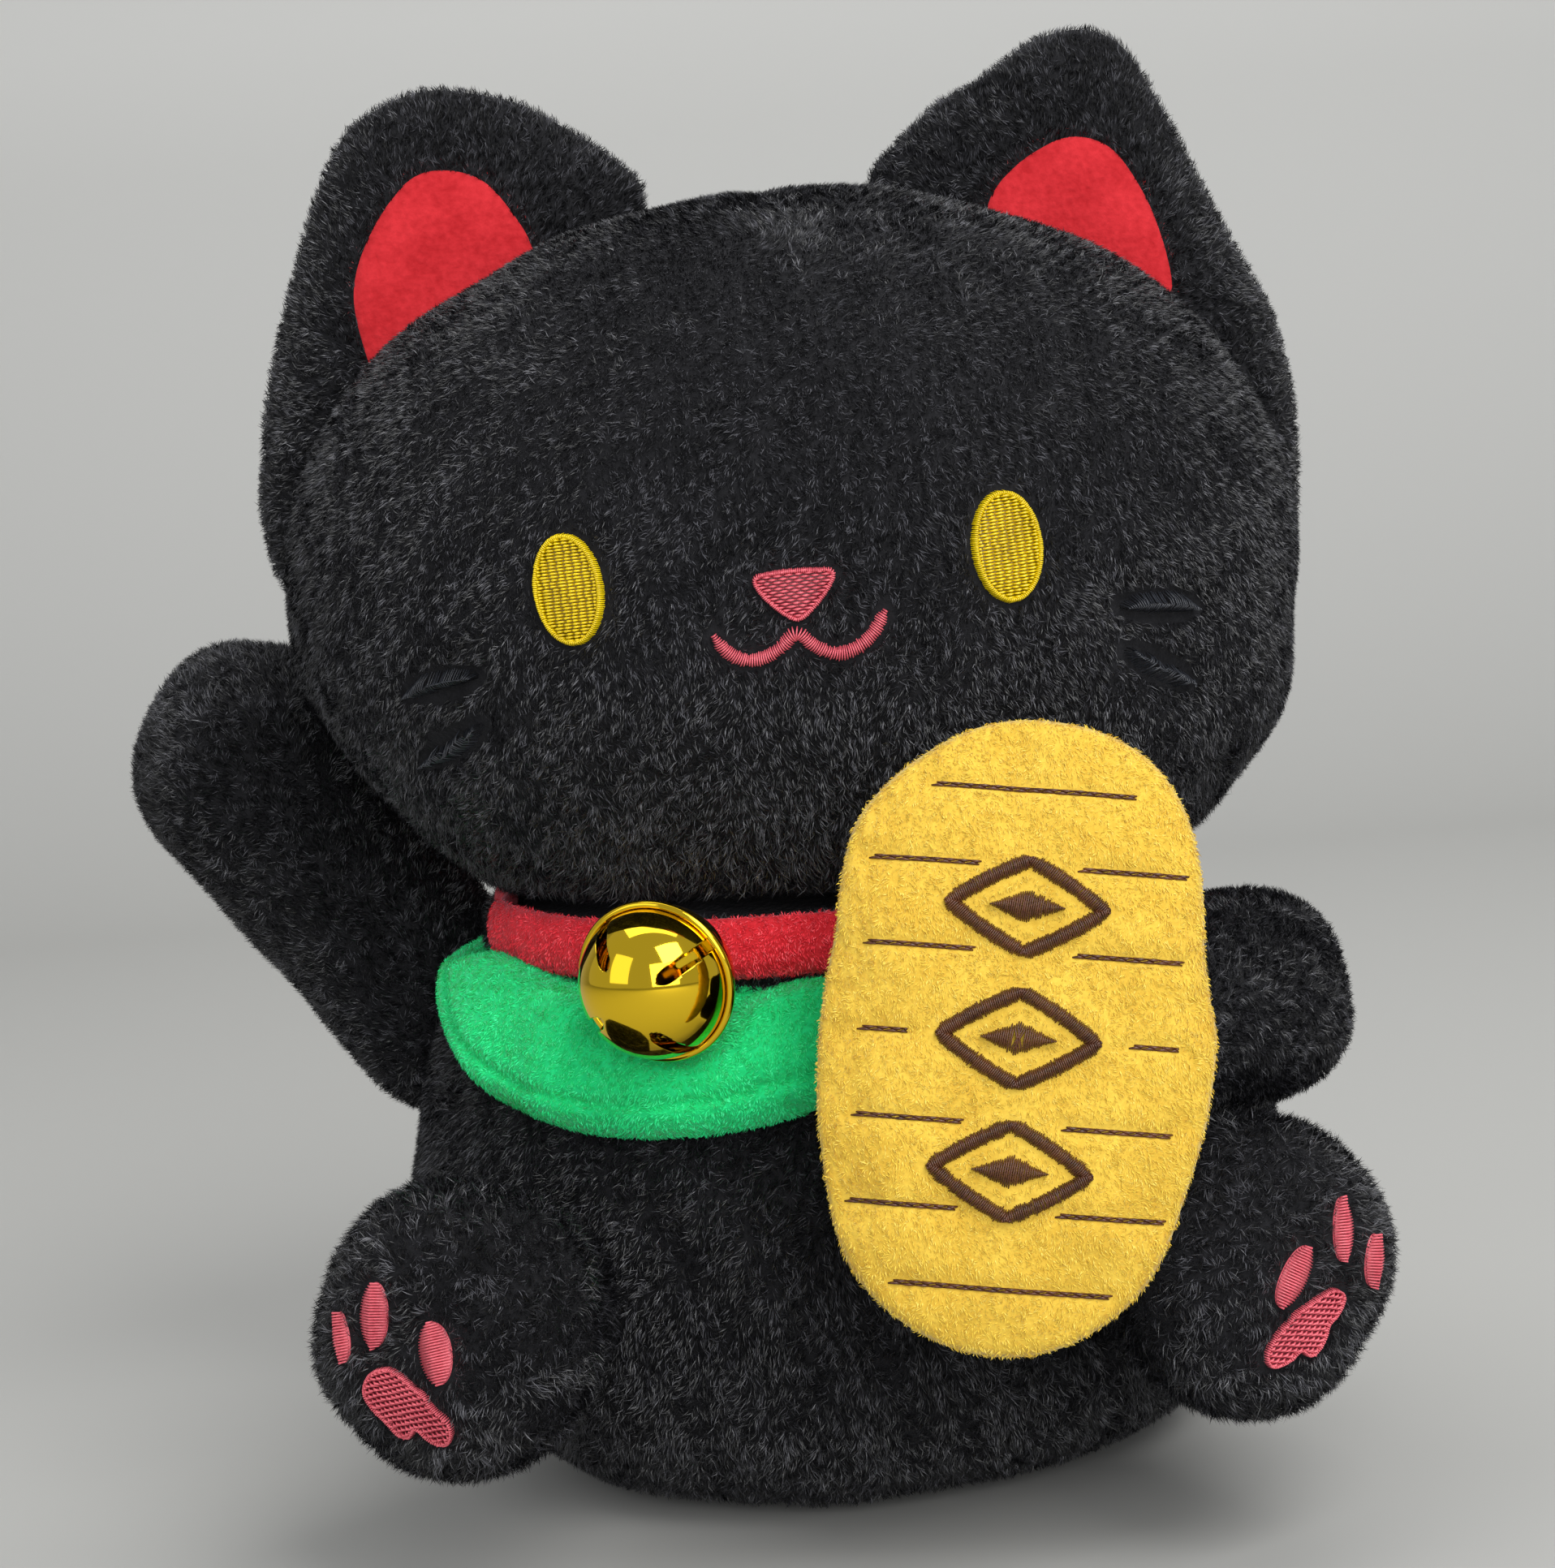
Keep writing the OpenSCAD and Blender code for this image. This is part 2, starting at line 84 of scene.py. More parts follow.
def mesh_object(name, co, tris=None, quads=None, mats=(), index=None):
    """A mesh object from points in mm and triangle or quad rows."""
    me = bpy.data.meshes.new(name)
    me.vertices.add(len(co))
    me.vertices.foreach_set("co", (np.asarray(co) * MM).astype(np.float32).ravel())
    rows, starts, at = [], [], 0
    for block, n in ((tris, 3), (quads, 4)):
        if block is not None and len(block):
            block = np.asarray(block, np.int32)
            rows.append(block.ravel())
            starts.append(at + np.arange(len(block), dtype=np.int32) * n)
            at += block.size
    rows, starts = np.concatenate(rows), np.concatenate(starts)
    me.loops.add(len(rows))
    me.loops.foreach_set("vertex_index", rows)
    me.polygons.add(len(starts))
    me.polygons.foreach_set("loop_start", starts)
    if index is not None:
        me.polygons.foreach_set("material_index", np.asarray(index, np.int32))
    me.polygons.foreach_set("use_smooth", np.ones(len(starts), bool))
    me.update(calc_edges=True)
    for m in mats if isinstance(mats, (list, tuple)) else [mats]:
        me.materials.append(m)
    return link(name, me)


def points_of(ob):
    co = np.empty(len(ob.data.vertices) * 3, np.float32)
    ob.data.vertices.foreach_get("co", co)
    return co.reshape(-1, 3).astype(float) / MM


def set_points(ob, co):
    ob.data.vertices.foreach_set("co", (co * MM).astype(np.float32).ravel())
    ob.data.update()


def tris_of(ob):
    me = ob.data
    me.calc_loop_triangles()
    t = np.empty(len(me.loop_triangles) * 3, np.int32)
    me.loop_triangles.foreach_get("vertices", t)
    return t.reshape(-1, 3)


def clean(ob, weld=None):
    """Welds points closer than weld (in mm), then turns every face outwards."""
    bm = bmesh.new()
    bm.from_mesh(ob.data)
    if weld:
        bmesh.ops.remove_doubles(bm, verts=bm.verts, dist=weld * MM)
    bmesh.ops.recalc_face_normals(bm, faces=bm.faces)
    bm.to_mesh(ob.data)
    bm.free()
    ob.data.polygons.foreach_set("use_smooth", np.ones(len(ob.data.polygons), bool))


def dress(ob, body, nodes=()):
    """Says what a piece rides on and hides the CAD nodes it stands for."""
    if nodes:
        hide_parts(*nodes)
    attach(ob, body)


def vertex_normals(co, tris):
    n = np.cross(co[tris[:, 1]] - co[tris[:, 0]], co[tris[:, 2]] - co[tris[:, 0]])
    out = np.zeros_like(co)
    for k in range(3):
        np.add.at(out, tris[:, k], n)
    return unit(out)


def surface(ob):
    """A piece's points and the normals there."""
    co = points_of(ob)
    return co, vertex_normals(co, tris_of(ob))


# ---- shapes as distances
def d_limb(p, a, b, ra, rb):
    a, b = np.asarray(a, float), np.asarray(b, float)
    t = np.clip((p - a) @ (b - a) / ((b - a) @ (b - a)), 0, 1)
    return np.linalg.norm(p - (a + t[:, None] * (b - a)), axis=1) - (ra + (rb - ra) * t)


def d_egg(p, c, s):
    q = p - np.asarray(c, float)
    s = np.asarray(s, float)
    k0 = np.linalg.norm(q / s, axis=1)
    k1 = np.linalg.norm(q / (s * s), axis=1)
    return k0 * (k0 - 1) / np.maximum(k1, 1e-6)


def smin(a, b, k):
    h = np.clip(0.5 + 0.5 * (b - a) / k, 0, 1)
    return b * (1 - h) + a * h - k * h * (1 - h)


def smax(a, b, k):
    return -smin(-a, -b, k)


def ball_mesh(level):
    bm = bmesh.new()
    bmesh.ops.create_icosphere(bm, subdivisions=level, radius=1.0)
    co = np.array([v.co[:] for v in bm.verts])
    tris = np.array([[v.index for v in f.verts] for f in bm.faces], np.int32)
    bm.free()
    return unit(co), tris


BALLS = {n: ball_mesh(n) for n in (5, 6)}


def star(name, centre, dist, mat, level=6, far=170.0):
    """A closed skin: the surface dist = 0 as seen from centre."""
    dirs, tris = BALLS[level]
    t = np.full(len(dirs), float(far))
    centre = np.asarray(centre, float)
    for _ in range(70):
        t -= 0.75 * dist(centre + dirs * t[:, None])
    return mesh_object(name, centre + dirs * t[:, None], tris=tris, mats=mat)


def bake(ob):
    """Gives a piece the mesh its modifiers make of it."""
    me = bpy.data.meshes.new_from_object(ob.evaluated_get(bpy.context.evaluated_depsgraph_get()))
    ob.modifiers.clear()
    ob.data = me


# ---- stuffing
def stuff(ob, voxel, pressure, cap, axes=np.eye(3), slack=1.0, share=(1.0, 1.0, 1.0), frames=20):
    """Cloth simulation: a remeshed, flatter copy is blown up by pressure and ob takes over its movement."""
    scale, scene = 10.0, bpy.context.scene
    axes = np.asarray(axes, float)
    co = points_of(ob)
    mid = (co.max(0) + co.min(0)) / 2
    local = (co - mid) @ axes
    flat = local * [1, slack, 1]
    copy = link("air_copy", ob.data.copy())
    set_points(copy, flat * scale)
    mod = copy.modifiers.new("remesh", "REMESH")
    mod.mode, mod.voxel_size = "VOXEL", voxel * scale * MM
    bake(copy)
    rest = points_of(copy)
    cloth = copy.modifiers.new("cloth", "CLOTH")
    cloth.settings.use_pressure = True
    cloth.settings.uniform_pressure_force = pressure
    cloth.settings.effector_weights.gravity = 0.0
    cloth.point_cache.frame_start, cloth.point_cache.frame_end = 1, frames
    for f in range(1, frames + 1):
        scene.frame_set(f)
    bake(copy)
    move = (points_of(copy) - rest) / scale
    rest = rest / scale
    move -= move.mean(0)
    far = np.linalg.norm(move, axis=1, keepdims=True)
    move *= cap * np.tanh(far / cap) / np.maximum(far, 1e-6) * np.array(share)
    bpy.data.objects.remove(copy)
    scene.frame_set(1)
    tree = KDTree(len(rest))
    for i, v in enumerate(rest):
        tree.insert(v, i)
    tree.balance()
    shift = np.zeros_like(flat)
    for i, v in enumerate(flat):
        near = tree.find_n(v, 7)
        w = np.array([1 / (d * d + 0.6) for _, _, d in near])
        shift[i] = (w[:, None] * move[[k for _, k, _ in near]]).sum(0) / w.sum()
    new = flat + shift
    centre = (new.max(0) + new.min(0)) / 2
    new = (
        (new - centre) * (local.max(0) - local.min(0)) / (new.max(0) - new.min(0))
        + (local.max(0) + local.min(0)) / 2
    )
    print("stuffed", ob.name, "moved up to %.1f mm" % np.abs(new - local).max())
    set_points(ob, new @ axes.T + mid)


# ---- materials
def node_mat(name, build):
    m = bpy.data.materials.new(name)
    m.use_nodes = True
    build(m.node_tree, m.node_tree.nodes["Principled BSDF"])
    return m


def constants(node, **values):
    for k, v in values.items():
        node.inputs[k.replace("_", " ")].default_value = v


def add_node(nt, kind, feed=None, **values):
    """A shader node; feed maps its inputs to other nodes' outputs, values sets its constants."""
    n = nt.nodes.new("ShaderNode" + kind)
    constants(n, **values)
    for k, out in (feed or {}).items():
        nt.links.new(out, n.inputs[k])
    return n


def ramp_node(nt, fac, low, high, at=(0.0, 1.0)):
    n = add_node(nt, "ValToRGB", {"Fac": fac})
    for e, colour, place in zip(n.color_ramp.elements, (low, high), at):
        e.color, e.position = (*colour, 1), place
    return n.outputs["Color"]


def plain(name, colour, rough=0.6, spec=0.5, sheen=0.0, sheen_rough=0.5, sheen_tint=(1, 1, 1)):
    """One constant colour, for strands."""

    def build(nt, b):
        constants(
            b, Base_Color=(*colour, 1), Roughness=rough, Specular_IOR_Level=spec, Sheen_Weight=sheen,
            Sheen_Roughness=sheen_rough, Sheen_Tint=(*sheen_tint, 1),
        )

    return node_mat(name, build)


def fabric(name, dark, light, scale=400.0, bump=0.4, rough=0.85, sheen=0.3, tint=(1, 1, 1), spec=0.2):
    """Mottled woven or piled cloth: two tones mixed by noise, with a fine bump."""

    def build(nt, b):
        place = add_node(nt, "TexCoord").outputs["Object"]
        grain = add_node(nt, "TexNoise", {"Vector": place}, Scale=scale, Detail=3.0).outputs["Fac"]
        blotch = add_node(nt, "TexNoise", {"Vector": place}, Scale=scale * 0.12, Detail=2.0).outputs["Fac"]
        both = add_node(nt, "Math", {0: grain, 1: blotch})
        half = add_node(nt, "Math", {0: both.outputs[0]})
        half.operation, half.inputs[1].default_value = "MULTIPLY", 0.5
        nt.links.new(ramp_node(nt, half.outputs[0], dark, light, (0.36, 0.66)), b.inputs["Base Color"])
        bp = add_node(nt, "Bump", {"Height": grain}, Strength=bump, Distance=0.0006)
        nt.links.new(bp.outputs["Normal"], b.inputs["Normal"])
        constants(
            b, Roughness=rough, Specular_IOR_Level=spec, Sheen_Weight=sheen, Sheen_Roughness=0.45,
            Sheen_Tint=(*tint, 1),
        )

    return node_mat(name, build)


def tones(name, colours, rough=0.6, spec=0.2, sheen=0.4, **kw):
    return [plain(f"{name}_{i}", c, rough, spec, sheen, **kw) for i, c in enumerate(colours)]


def velour(name, low, high, colours, tint):
    """The ground and the nap of one velour."""
    ground = fabric(f"{name}_velour", low, high, scale=900, bump=0.5, sheen=0.4, tint=tint)
    return ground, tones(f"{name}_nap", colours, sheen_tint=tint)


SKIN = fabric("plush_ground", (0.004, 0.004, 0.005), (0.012, 0.012, 0.014), scale=900, bump=0.8, sheen=0.1,
    tint=(0.5, 0.5, 0.55))
# Painted highlight: the brightest tone is a light grey that stands in for glints on the black fur; which
# strands take it is random, in tufts.
FUR = tones(
    "black_pile",
    [(0.0015, 0.0015, 0.002), (0.004, 0.004, 0.005), (0.020, 0.020, 0.023), (0.082, 0.082, 0.093)],
    rough=0.36, spec=0.5, sheen=0.08, sheen_rough=0.4, sheen_tint=(0.5, 0.5, 0.55),
)
RED_SKIN = fabric("red_ground", (0.42, 0.007, 0.012), (0.60, 0.022, 0.03), scale=700, bump=0.5)
RED_FUR = tones("red_pile", [(0.40, 0.005, 0.010), (0.86, 0.030, 0.036), (1.0, 0.17, 0.17)], rough=0.6,
    spec=0.25, sheen=0.45, sheen_tint=(1, 0.5, 0.5))
COLLAR_SKIN, COLLAR_FUR = velour(
    "collar", (0.52, 0.010, 0.018), (0.76, 0.03, 0.045),
    [(0.70, 0.016, 0.030), (0.92, 0.038, 0.062), (1.0, 0.11, 0.14)], (1, 0.5, 0.6),
)
BIB_SKIN, BIB_FUR = velour(
    "bib", (0.007, 0.54, 0.155), (0.016, 0.78, 0.26),
    [(0.006, 0.60, 0.17), (0.017, 0.83, 0.27), (0.06, 0.95, 0.38)], (0.6, 1, 0.8),
)
COIN_SKIN, COIN_FUR = velour(
    "coin", (0.66, 0.41, 0.04), (0.80, 0.55, 0.07),
    [(0.69, 0.465, 0.045), (0.78, 0.56, 0.062), (0.85, 0.65, 0.115)], (1, 0.9, 0.6),
)


def thread_mat(name, dark, light, scale=1500.0):
    return fabric(name, dark, light, scale=scale, bump=0.25, rough=0.36, sheen=0.0, spec=0.5)


EYE_THREAD = thread_mat("yellow_thread", (0.66, 0.47, 0.001), (0.90, 0.67, 0.002))
# Painted shade: dark copies of the yellow and pink threads for the grounds under the eye, nose and paw pad
# stitches, standing in for the shadow in the gaps between stitches.
EYE_PAINTED_SHADE = thread_mat("yellow_thread_deep", (0.20, 0.12, 0.001), (0.32, 0.20, 0.001))
PINK_THREAD = thread_mat("pink_thread", (0.58, 0.075, 0.105), (0.85, 0.16, 0.20))
PINK_PAINTED_SHADE = thread_mat("pink_thread_deep", (0.13, 0.010, 0.018), (0.22, 0.022, 0.036))
BLACK_THREAD = thread_mat("black_thread", (0.012, 0.013, 0.017), (0.042, 0.046, 0.056))
BROWN_THREAD = thread_mat("brown_thread", (0.045, 0.012, 0.004), (0.13, 0.040, 0.013))


def gold_build(nt, b):
    place = add_node(nt, "TexCoord").outputs["Object"]
    smear = add_node(nt, "TexNoise", {"Vector": place}, Scale=260.0)
    rough = add_node(nt, "MapRange", {"Value": smear.outputs["Fac"]}, To_Min=0.03, To_Max=0.09)
    nt.links.new(rough.outputs["Result"], b.inputs["Roughness"])
    constants(b, Base_Color=(0.93, 0.62, 0.028, 1), Metallic=1.0)


GOLD = node_mat("bell_gold", gold_build)


def steel_build(nt, b):
    gold_build(nt, b)
    constants(b, Base_Color=(0.55, 0.56, 0.58, 1))


STEEL = node_mat("bell_steel", steel_build)
BAG = fabric("pellet_bag", (0.6, 0.6, 0.58), (0.8, 0.8, 0.78), scale=500, bump=0.3)


# ---- pile
def pile(name, body, ob, density, length, comb, mats=FUR, keep=None, lift=(46, 80), width=0.17, seed=1,
         clump=0.55, sink=0.4, weights=None, shade=0.9, droop=0.5, slot="black_pile"):
    """Fur or nap: two-triangle strands rooted on ob, combed by comb(points, normals), in pieces."""
    rng = np.random.default_rng(seed)
    co, tris = points_of(ob), tris_of(ob)
    vn = vertex_normals(co, tris)
    a, b, c = (co[tris[:, k]] for k in range(3))
    area = np.linalg.norm(np.cross(b - a, c - a), axis=1) / 2
    total = area.sum()
    n = int(total * density)
    pick = np.searchsorted(np.cumsum(area), rng.random(n) * total).clip(0, len(tris) - 1)
    u, v = rng.random(n), rng.random(n)
    over = u + v > 1
    u[over], v[over] = 1 - u[over], 1 - v[over]
    w = (1 - u - v)[:, None]
    u, v = u[:, None], v[:, None]
    t = tris[pick]
    p = co[t[:, 0]] * w + co[t[:, 1]] * u + co[t[:, 2]] * v
    nrm = unit(vn[t[:, 0]] * w + vn[t[:, 1]] * u + vn[t[:, 2]] * v)
    size = length(p) if callable(length) else np.full(n, float(length))
    if keep is not None:
        ok = keep(p, nrm)
        p, nrm, size = p[ok], nrm[ok], size[ok]
    n = len(p)
    g = comb(p, nrm)
    g = (
        g + 0.7 * clump * waves(p, 13.0, seed + 3) + 1.1 * clump * waves(p, 2.8, seed + 5, 24)
        + rng.normal(size=(n, 3)) * 0.3
    )
    g = unit(g - (g * nrm).sum(1, keepdims=True) * nrm)
    stand = np.radians(rng.uniform(*lift, n) + 7 * waves(p, 2.6, seed + 9, 24)[:, 0])[:, None].clip(0.1, 1.45)
    d1 = unit(g * np.cos(stand) + nrm * np.sin(stand))
    low = stand * droop
    d2 = unit(g * np.cos(low) + nrm * np.sin(low) + rng.normal(size=(n, 3)) * 0.12)
    size = (size * rng.uniform(0.65, 1.2, n))[:, None]
    root = p - nrm * sink
    mid = root + d1 * size * 0.5
    tip = mid + d2 * size * 0.5
    side = unit(np.cross(d1, nrm))
    roll = rng.uniform(-1.0, 1.0, n)[:, None]
    side = side * np.cos(roll) + np.cross(side, d1) * np.sin(roll)
    half = (width / 2 * rng.uniform(0.65, 1.3, n))[:, None]
    if keep is not None:
        ok = keep(tip, nrm) & keep(mid, nrm)
        root, mid, tip, side, half, p = root[ok], mid[ok], tip[ok], side[ok], half[ok], p[ok]
        n = len(root)
    verts = np.stack([root, mid - side * half, mid + side * half, tip], 1)
    w = np.array(weights if weights is not None else [1] * len(mats), float)
    level = rng.random(n) + shade * (
        0.34 * waves(p, 2.4, seed + 21, 24)[:, 0] + 0.08 * waves(p, 8.0, seed + 31, 24)[:, 0]
    )
    tone = np.searchsorted(np.cumsum(w / w.sum())[:-1], level.clip(0, 0.999))
    most = 94000
    for k in range(0, n, most):
        block = verts[k : k + most]
        m = len(block)
        base = (np.arange(m) * 4)[:, None]
        tri = np.stack([base + [0, 2, 1], base + [1, 2, 3]], 1).reshape(-1, 3)
        piece = mesh_object(
            f"{name}_{k // most + 1}", block.reshape(-1, 3), tris=tri, mats=mats,
            index=np.repeat(tone[k : k + most], 2),
        )
        dress(piece, body)


def comb_to(way):
    return lambda p, n: np.tile(way, (len(p), 1))


def inside(poly, x, z):
    """Which points lie in the closed outline poly."""
    hit = np.zeros(len(x), bool)
    q = np.asarray(poly, float)
    for (x0, z0), (x1, z1) in zip(q, np.roll(q, -1, 0)):
        if z0 != z1:
            hit ^= ((z0 > z) != (z1 > z)) & (x < (x1 - x0) * (z - z0) / (z1 - z0) + x0)
    return hit


def even(line, count, closed):
    """Places at even steps along a line, then how far along it its own points and those places are."""
    s = np.concatenate([[0], np.cumsum(np.linalg.norm(np.diff(line, axis=0), axis=1))])
    at = np.linspace(0, s[-1], count, endpoint=not closed)
    return np.stack([np.interp(at, s, line[:, k]) for k in range(line.shape[1])], 1), s, at


def from_ends(count):
    """How far each of count even places is from the nearer end of a line."""
    return np.minimum(np.linspace(0, 1, count), np.linspace(1, 0, count))


def spline(points, count, closed=True):
    """Catmull-Rom through the points, at even steps."""
    q = np.asarray(points, float)
    if closed:
        q = np.vstack([q[-1:], q, q[:2]])
    else:
        q = np.vstack([2 * q[0] - q[1], q, 2 * q[-1] - q[-2]])
    out = []
    for a, b, c, d in zip(q, q[1:], q[2:], q[3:]):
        for t in np.linspace(0, 1, 24, endpoint=False):
            square, cube = 2 * a - 5 * b + 4 * c - d, 3 * b - a - 3 * c + d
            out.append(0.5 * (2 * b + (c - a) * t + square * t * t + cube * t**3))
    return even(np.vstack([out, out[:1] if closed else q[-2:-1]]), count, closed)[0]


def ellipse(cx, cz, a, b, lean=0.0, count=72):
    t = np.linspace(0, 2 * pi, count, endpoint=False)
    return np.stack(turned(a * np.cos(t), b * np.sin(t), lean), 1) + [cx, cz]


def cushion(rim, mid, rings, soft, lump, size, seed):
    """Rings of places from mid out to rim; there, the way to the rim, how full it is and its lumps."""
    k = np.linspace(0, 1, rings + 1)[1:]
    flat = mid + (rim[None] - mid) * k[:, None, None]
    edge = np.linalg.norm(flat - rim[None], axis=2)
    swell = np.sqrt(1 - (1 - np.clip(edge / soft, 0, 1)) ** 2)
    spots = np.concatenate([flat, np.zeros((*edge.shape, 1))], -1).reshape(-1, 3)
    return flat, edge, swell, lump * waves(spots, size, seed)[:, 0].reshape(edge.shape)


def pillow(mid, flat, front, back, y_front, y_back):
    """A closed form: rings of places (x, z), each with a front y and a back y, joined at the last."""
    rings, n = flat.shape[:2]
    sides = [(y_front, front), (y_back, back[:-1])]
    co = []
    for y, rows in sides:
        co.append([[mid[0], y, mid[1]]])
        co += [np.stack([flat[r, :, 0], rows[r], flat[r, :, 1]], 1) for r in range(len(rows))]
    hub, tris, quads = 1 + rings * n, [], []
    rows = {False: [1 + r * n for r in range(rings)]}
    rows[True] = [hub + 1 + r * n for r in range(rings - 1)] + [rows[False][-1]]
    for i in range(n):
        j = (i + 1) % n
        tris += [(0, 1 + i, 1 + j), (hub, hub + 1 + j, hub + 1 + i)]
        for r in range(rings - 1):
            a, b = rows[False][r : r + 2]
            quads.append((a + i, b + i, b + j, a + j))
            a, b = rows[True][r : r + 2]
            quads.append((a + j, b + j, b + i, a + i))
    return np.vstack(co), tris, quads


# ---- embroidery
class Cloth:
    """A window onto a skin: flat places (u, v) in mm, dropped onto it along a direction."""

    def __init__(self, ob, origin, right, up, reach=60.0):
        self.bvh = BVHTree.FromPolygons([tuple(v) for v in points_of(ob)], [tuple(t) for t in tris_of(ob)])
        self.o, self.r, self.u = (np.asarray(v, float) for v in (origin, right, up))
        self.n = np.cross(self.r, self.u)
        self.reach = reach

    def at(self, uv, lift=0.0):
        uv = np.asarray(uv, float).reshape(-1, 2)
        start = self.o + uv[:, :1] * self.r + uv[:, 1:] * self.u + self.n * self.reach
        p, q = np.empty_like(start), np.empty_like(start)
        for i, s in enumerate(start):
            hit = self.bvh.ray_cast(Vector(s), Vector(-self.n))
            if hit[0] is None:
                near = self.bvh.find_nearest(Vector(s - self.n * self.reach))
                hit = (near[0], near[1])
            p[i], q[i] = hit[0], hit[1]
        q = np.where((q @ self.n)[:, None] < 0, -q, q)
        return p + q * np.asarray(lift, float).reshape(-1, 1), q


class Threads:
    """Stitches as thin ridged strands."""

    def __init__(self, cloth):
        self.cloth, self.uv, self.lift, self.runs, self.half = cloth, [], [], [], []

    def stitch(self, path, lifts, half=0.17):
        self.runs.append(len(path))
        self.uv += [tuple(p) for p in path]
        self.lift += list(lifts)
        self.half += [half] * len(path)

    def satin(self, line, width, high, gap=0.36, closed=False, wobble=0.08, seed=3):
        """Stitches across a line; width is a number or one for each point."""
        r = np.random.default_rng(seed)
        line = np.asarray(line, float)
        ring = np.vstack([line, line[:1]]) if closed else line
        length = np.linalg.norm(np.diff(ring, axis=0), axis=1).sum()
        count = max(int(length / gap), 4)
        p, s, at = even(ring, count, closed)
        wide = np.interp(at, s, width) if np.ndim(width) else np.full(count, width)
        ahead = np.roll(p, -1, 0) - np.roll(p, 1, 0)
        if not closed:
            ahead[0], ahead[-1] = p[1] - p[0], p[-1] - p[-2]
        ahead = unit(ahead)
        across = np.stack([-ahead[:, 1], ahead[:, 0]], 1)
        for i in range(count):
            h = wide[i] / 2 * (1 + r.normal() * wobble)
            skew = ahead[i] * 0.12 * h
            path = [p[i] + across[i] * h * t + skew * t for t in np.linspace(-1, 1, 5)]
            self.stitch(path, high * np.array([-0.5, 0.72, 1.0, 0.72, -0.5]) + r.normal() * 0.02)

    def fill(self, mask, box, pitch, step, high, low, lean, brick, seed, half=0.22, stray=0.04):
        """Rows of stitches across a region, with needle holes stepped from row to row; none if step is 0."""
        r = np.random.default_rng(seed)
        u0, u1, v0, v1 = box
        mid = np.array([(u0 + u1) / 2, (v0 + v1) / 2])
        reach = hypot(u1 - u0, v1 - v0) / 2
        along = np.arange(-reach, reach, 0.12)
        for row, v in enumerate(np.arange(-reach, reach, pitch)):

            def place(x):
                return mid + np.stack(turned(x, v, lean), 1)

            edge = np.diff(mask(*place(along).T), prepend=False, append=False)
            for a, b in along[np.flatnonzero(edge).reshape(-1, 2) - [0, 1]]:
                holes = []
                if step:
                    holes = np.arange(floor(a / step) - 1,
                        ceil(b / step) + 1) + (row % brick) / brick
                    holes = holes * step
                cuts = [a] + [h + r.normal() * stray for h in holes if a + 0.35 < h < b - 0.35] + [b]
                for x0, x1 in zip(cuts, cuts[1:]):
                    path = place(np.array([x0 + 0.03, (x0 + x1) / 2, x1 - 0.03]))
                    self.stitch(path, [low, high + r.normal() * 0.02, low], half)

    def build(self, name, mat, body, slot, *nodes):
        p, n = self.cloth.at(self.uv, self.lift)
        half = np.array(self.half)
        co, quads, at = [], [], 0
        for k in self.runs:
            q, m, h = p[at : at + k], n[at : at + k], half[at : at + k, None]
            side = unit(np.cross(np.gradient(q, axis=0), m))
            taper = np.ones((k, 1))
            taper[0] = taper[-1] = 0.6
            low, top = m * 0.1, m * h * 0.8
            wide, slim = side * h * taper, side * h * 0.6 * taper
            co.append(np.stack([q - wide - low, q - slim + top, q + slim + top, q + wide - low],
                1).reshape(-1, 3))
            first, last = at * 4, (at + k - 1) * 4
            for b in range(first, last, 4):
                quads += [(b + e, b + f, b + 4 + f, b + 4 + e) for e, f in ((0, 1), (1, 2), (2, 3), (3, 0))]
            quads += [(first + 3, first + 2, first + 1, first), (last, last + 1, last + 2, last + 3)]
            at += k
        ob = mesh_object(name, np.vstack(co), quads=quads, mats=mat)
        dress(ob, body, nodes)


def patch(name, cloth, outline, centre, mat, body, high=0.3, edge=-0.8, rings=14, nodes=()):
    """A low closed mound over an outline on a skin, under the stitches."""
    outline = np.asarray(outline, float)
    centre = np.asarray(centre, float)
    n = len(outline)
    uv, lift = [centre], [high]
    for k in range(1, rings + 1):
        f = k / rings
        uv += list(centre + (outline - centre) * f)
        lift += [high * (1 - f**6) + (edge if k == rings else 0.0)] * n
    p, q = cloth.at(uv, lift)
    back = p[-n:] - q[-n:] * 1.0
    deep = p[0] - q[0] * (high - edge + 1.5)
    co = np.vstack([p, back, deep[None]])
    tris = [(0, 1 + i, 1 + (i + 1) % n) for i in range(n)]
    quads = []
    for k in range(rings):
        a = 1 + k * n
        for i in range(n):
            j = (i + 1) % n
            quads.append((a + i, a + n + i, a + n + j, a + j))
    last = len(co) - 1
    a = 1 + rings * n
    tris += [(last, a + (i + 1) % n, a + i) for i in range(n)]
    ob = mesh_object(name, co, tris=tris, quads=quads, mats=mat)
    dress(ob, body, nodes)
    return ob


NAP = {"width": 0.2, "lift": (25, 60), "sink": 0.15, "shade": 0.35, "weights": [1, 3, 1]}


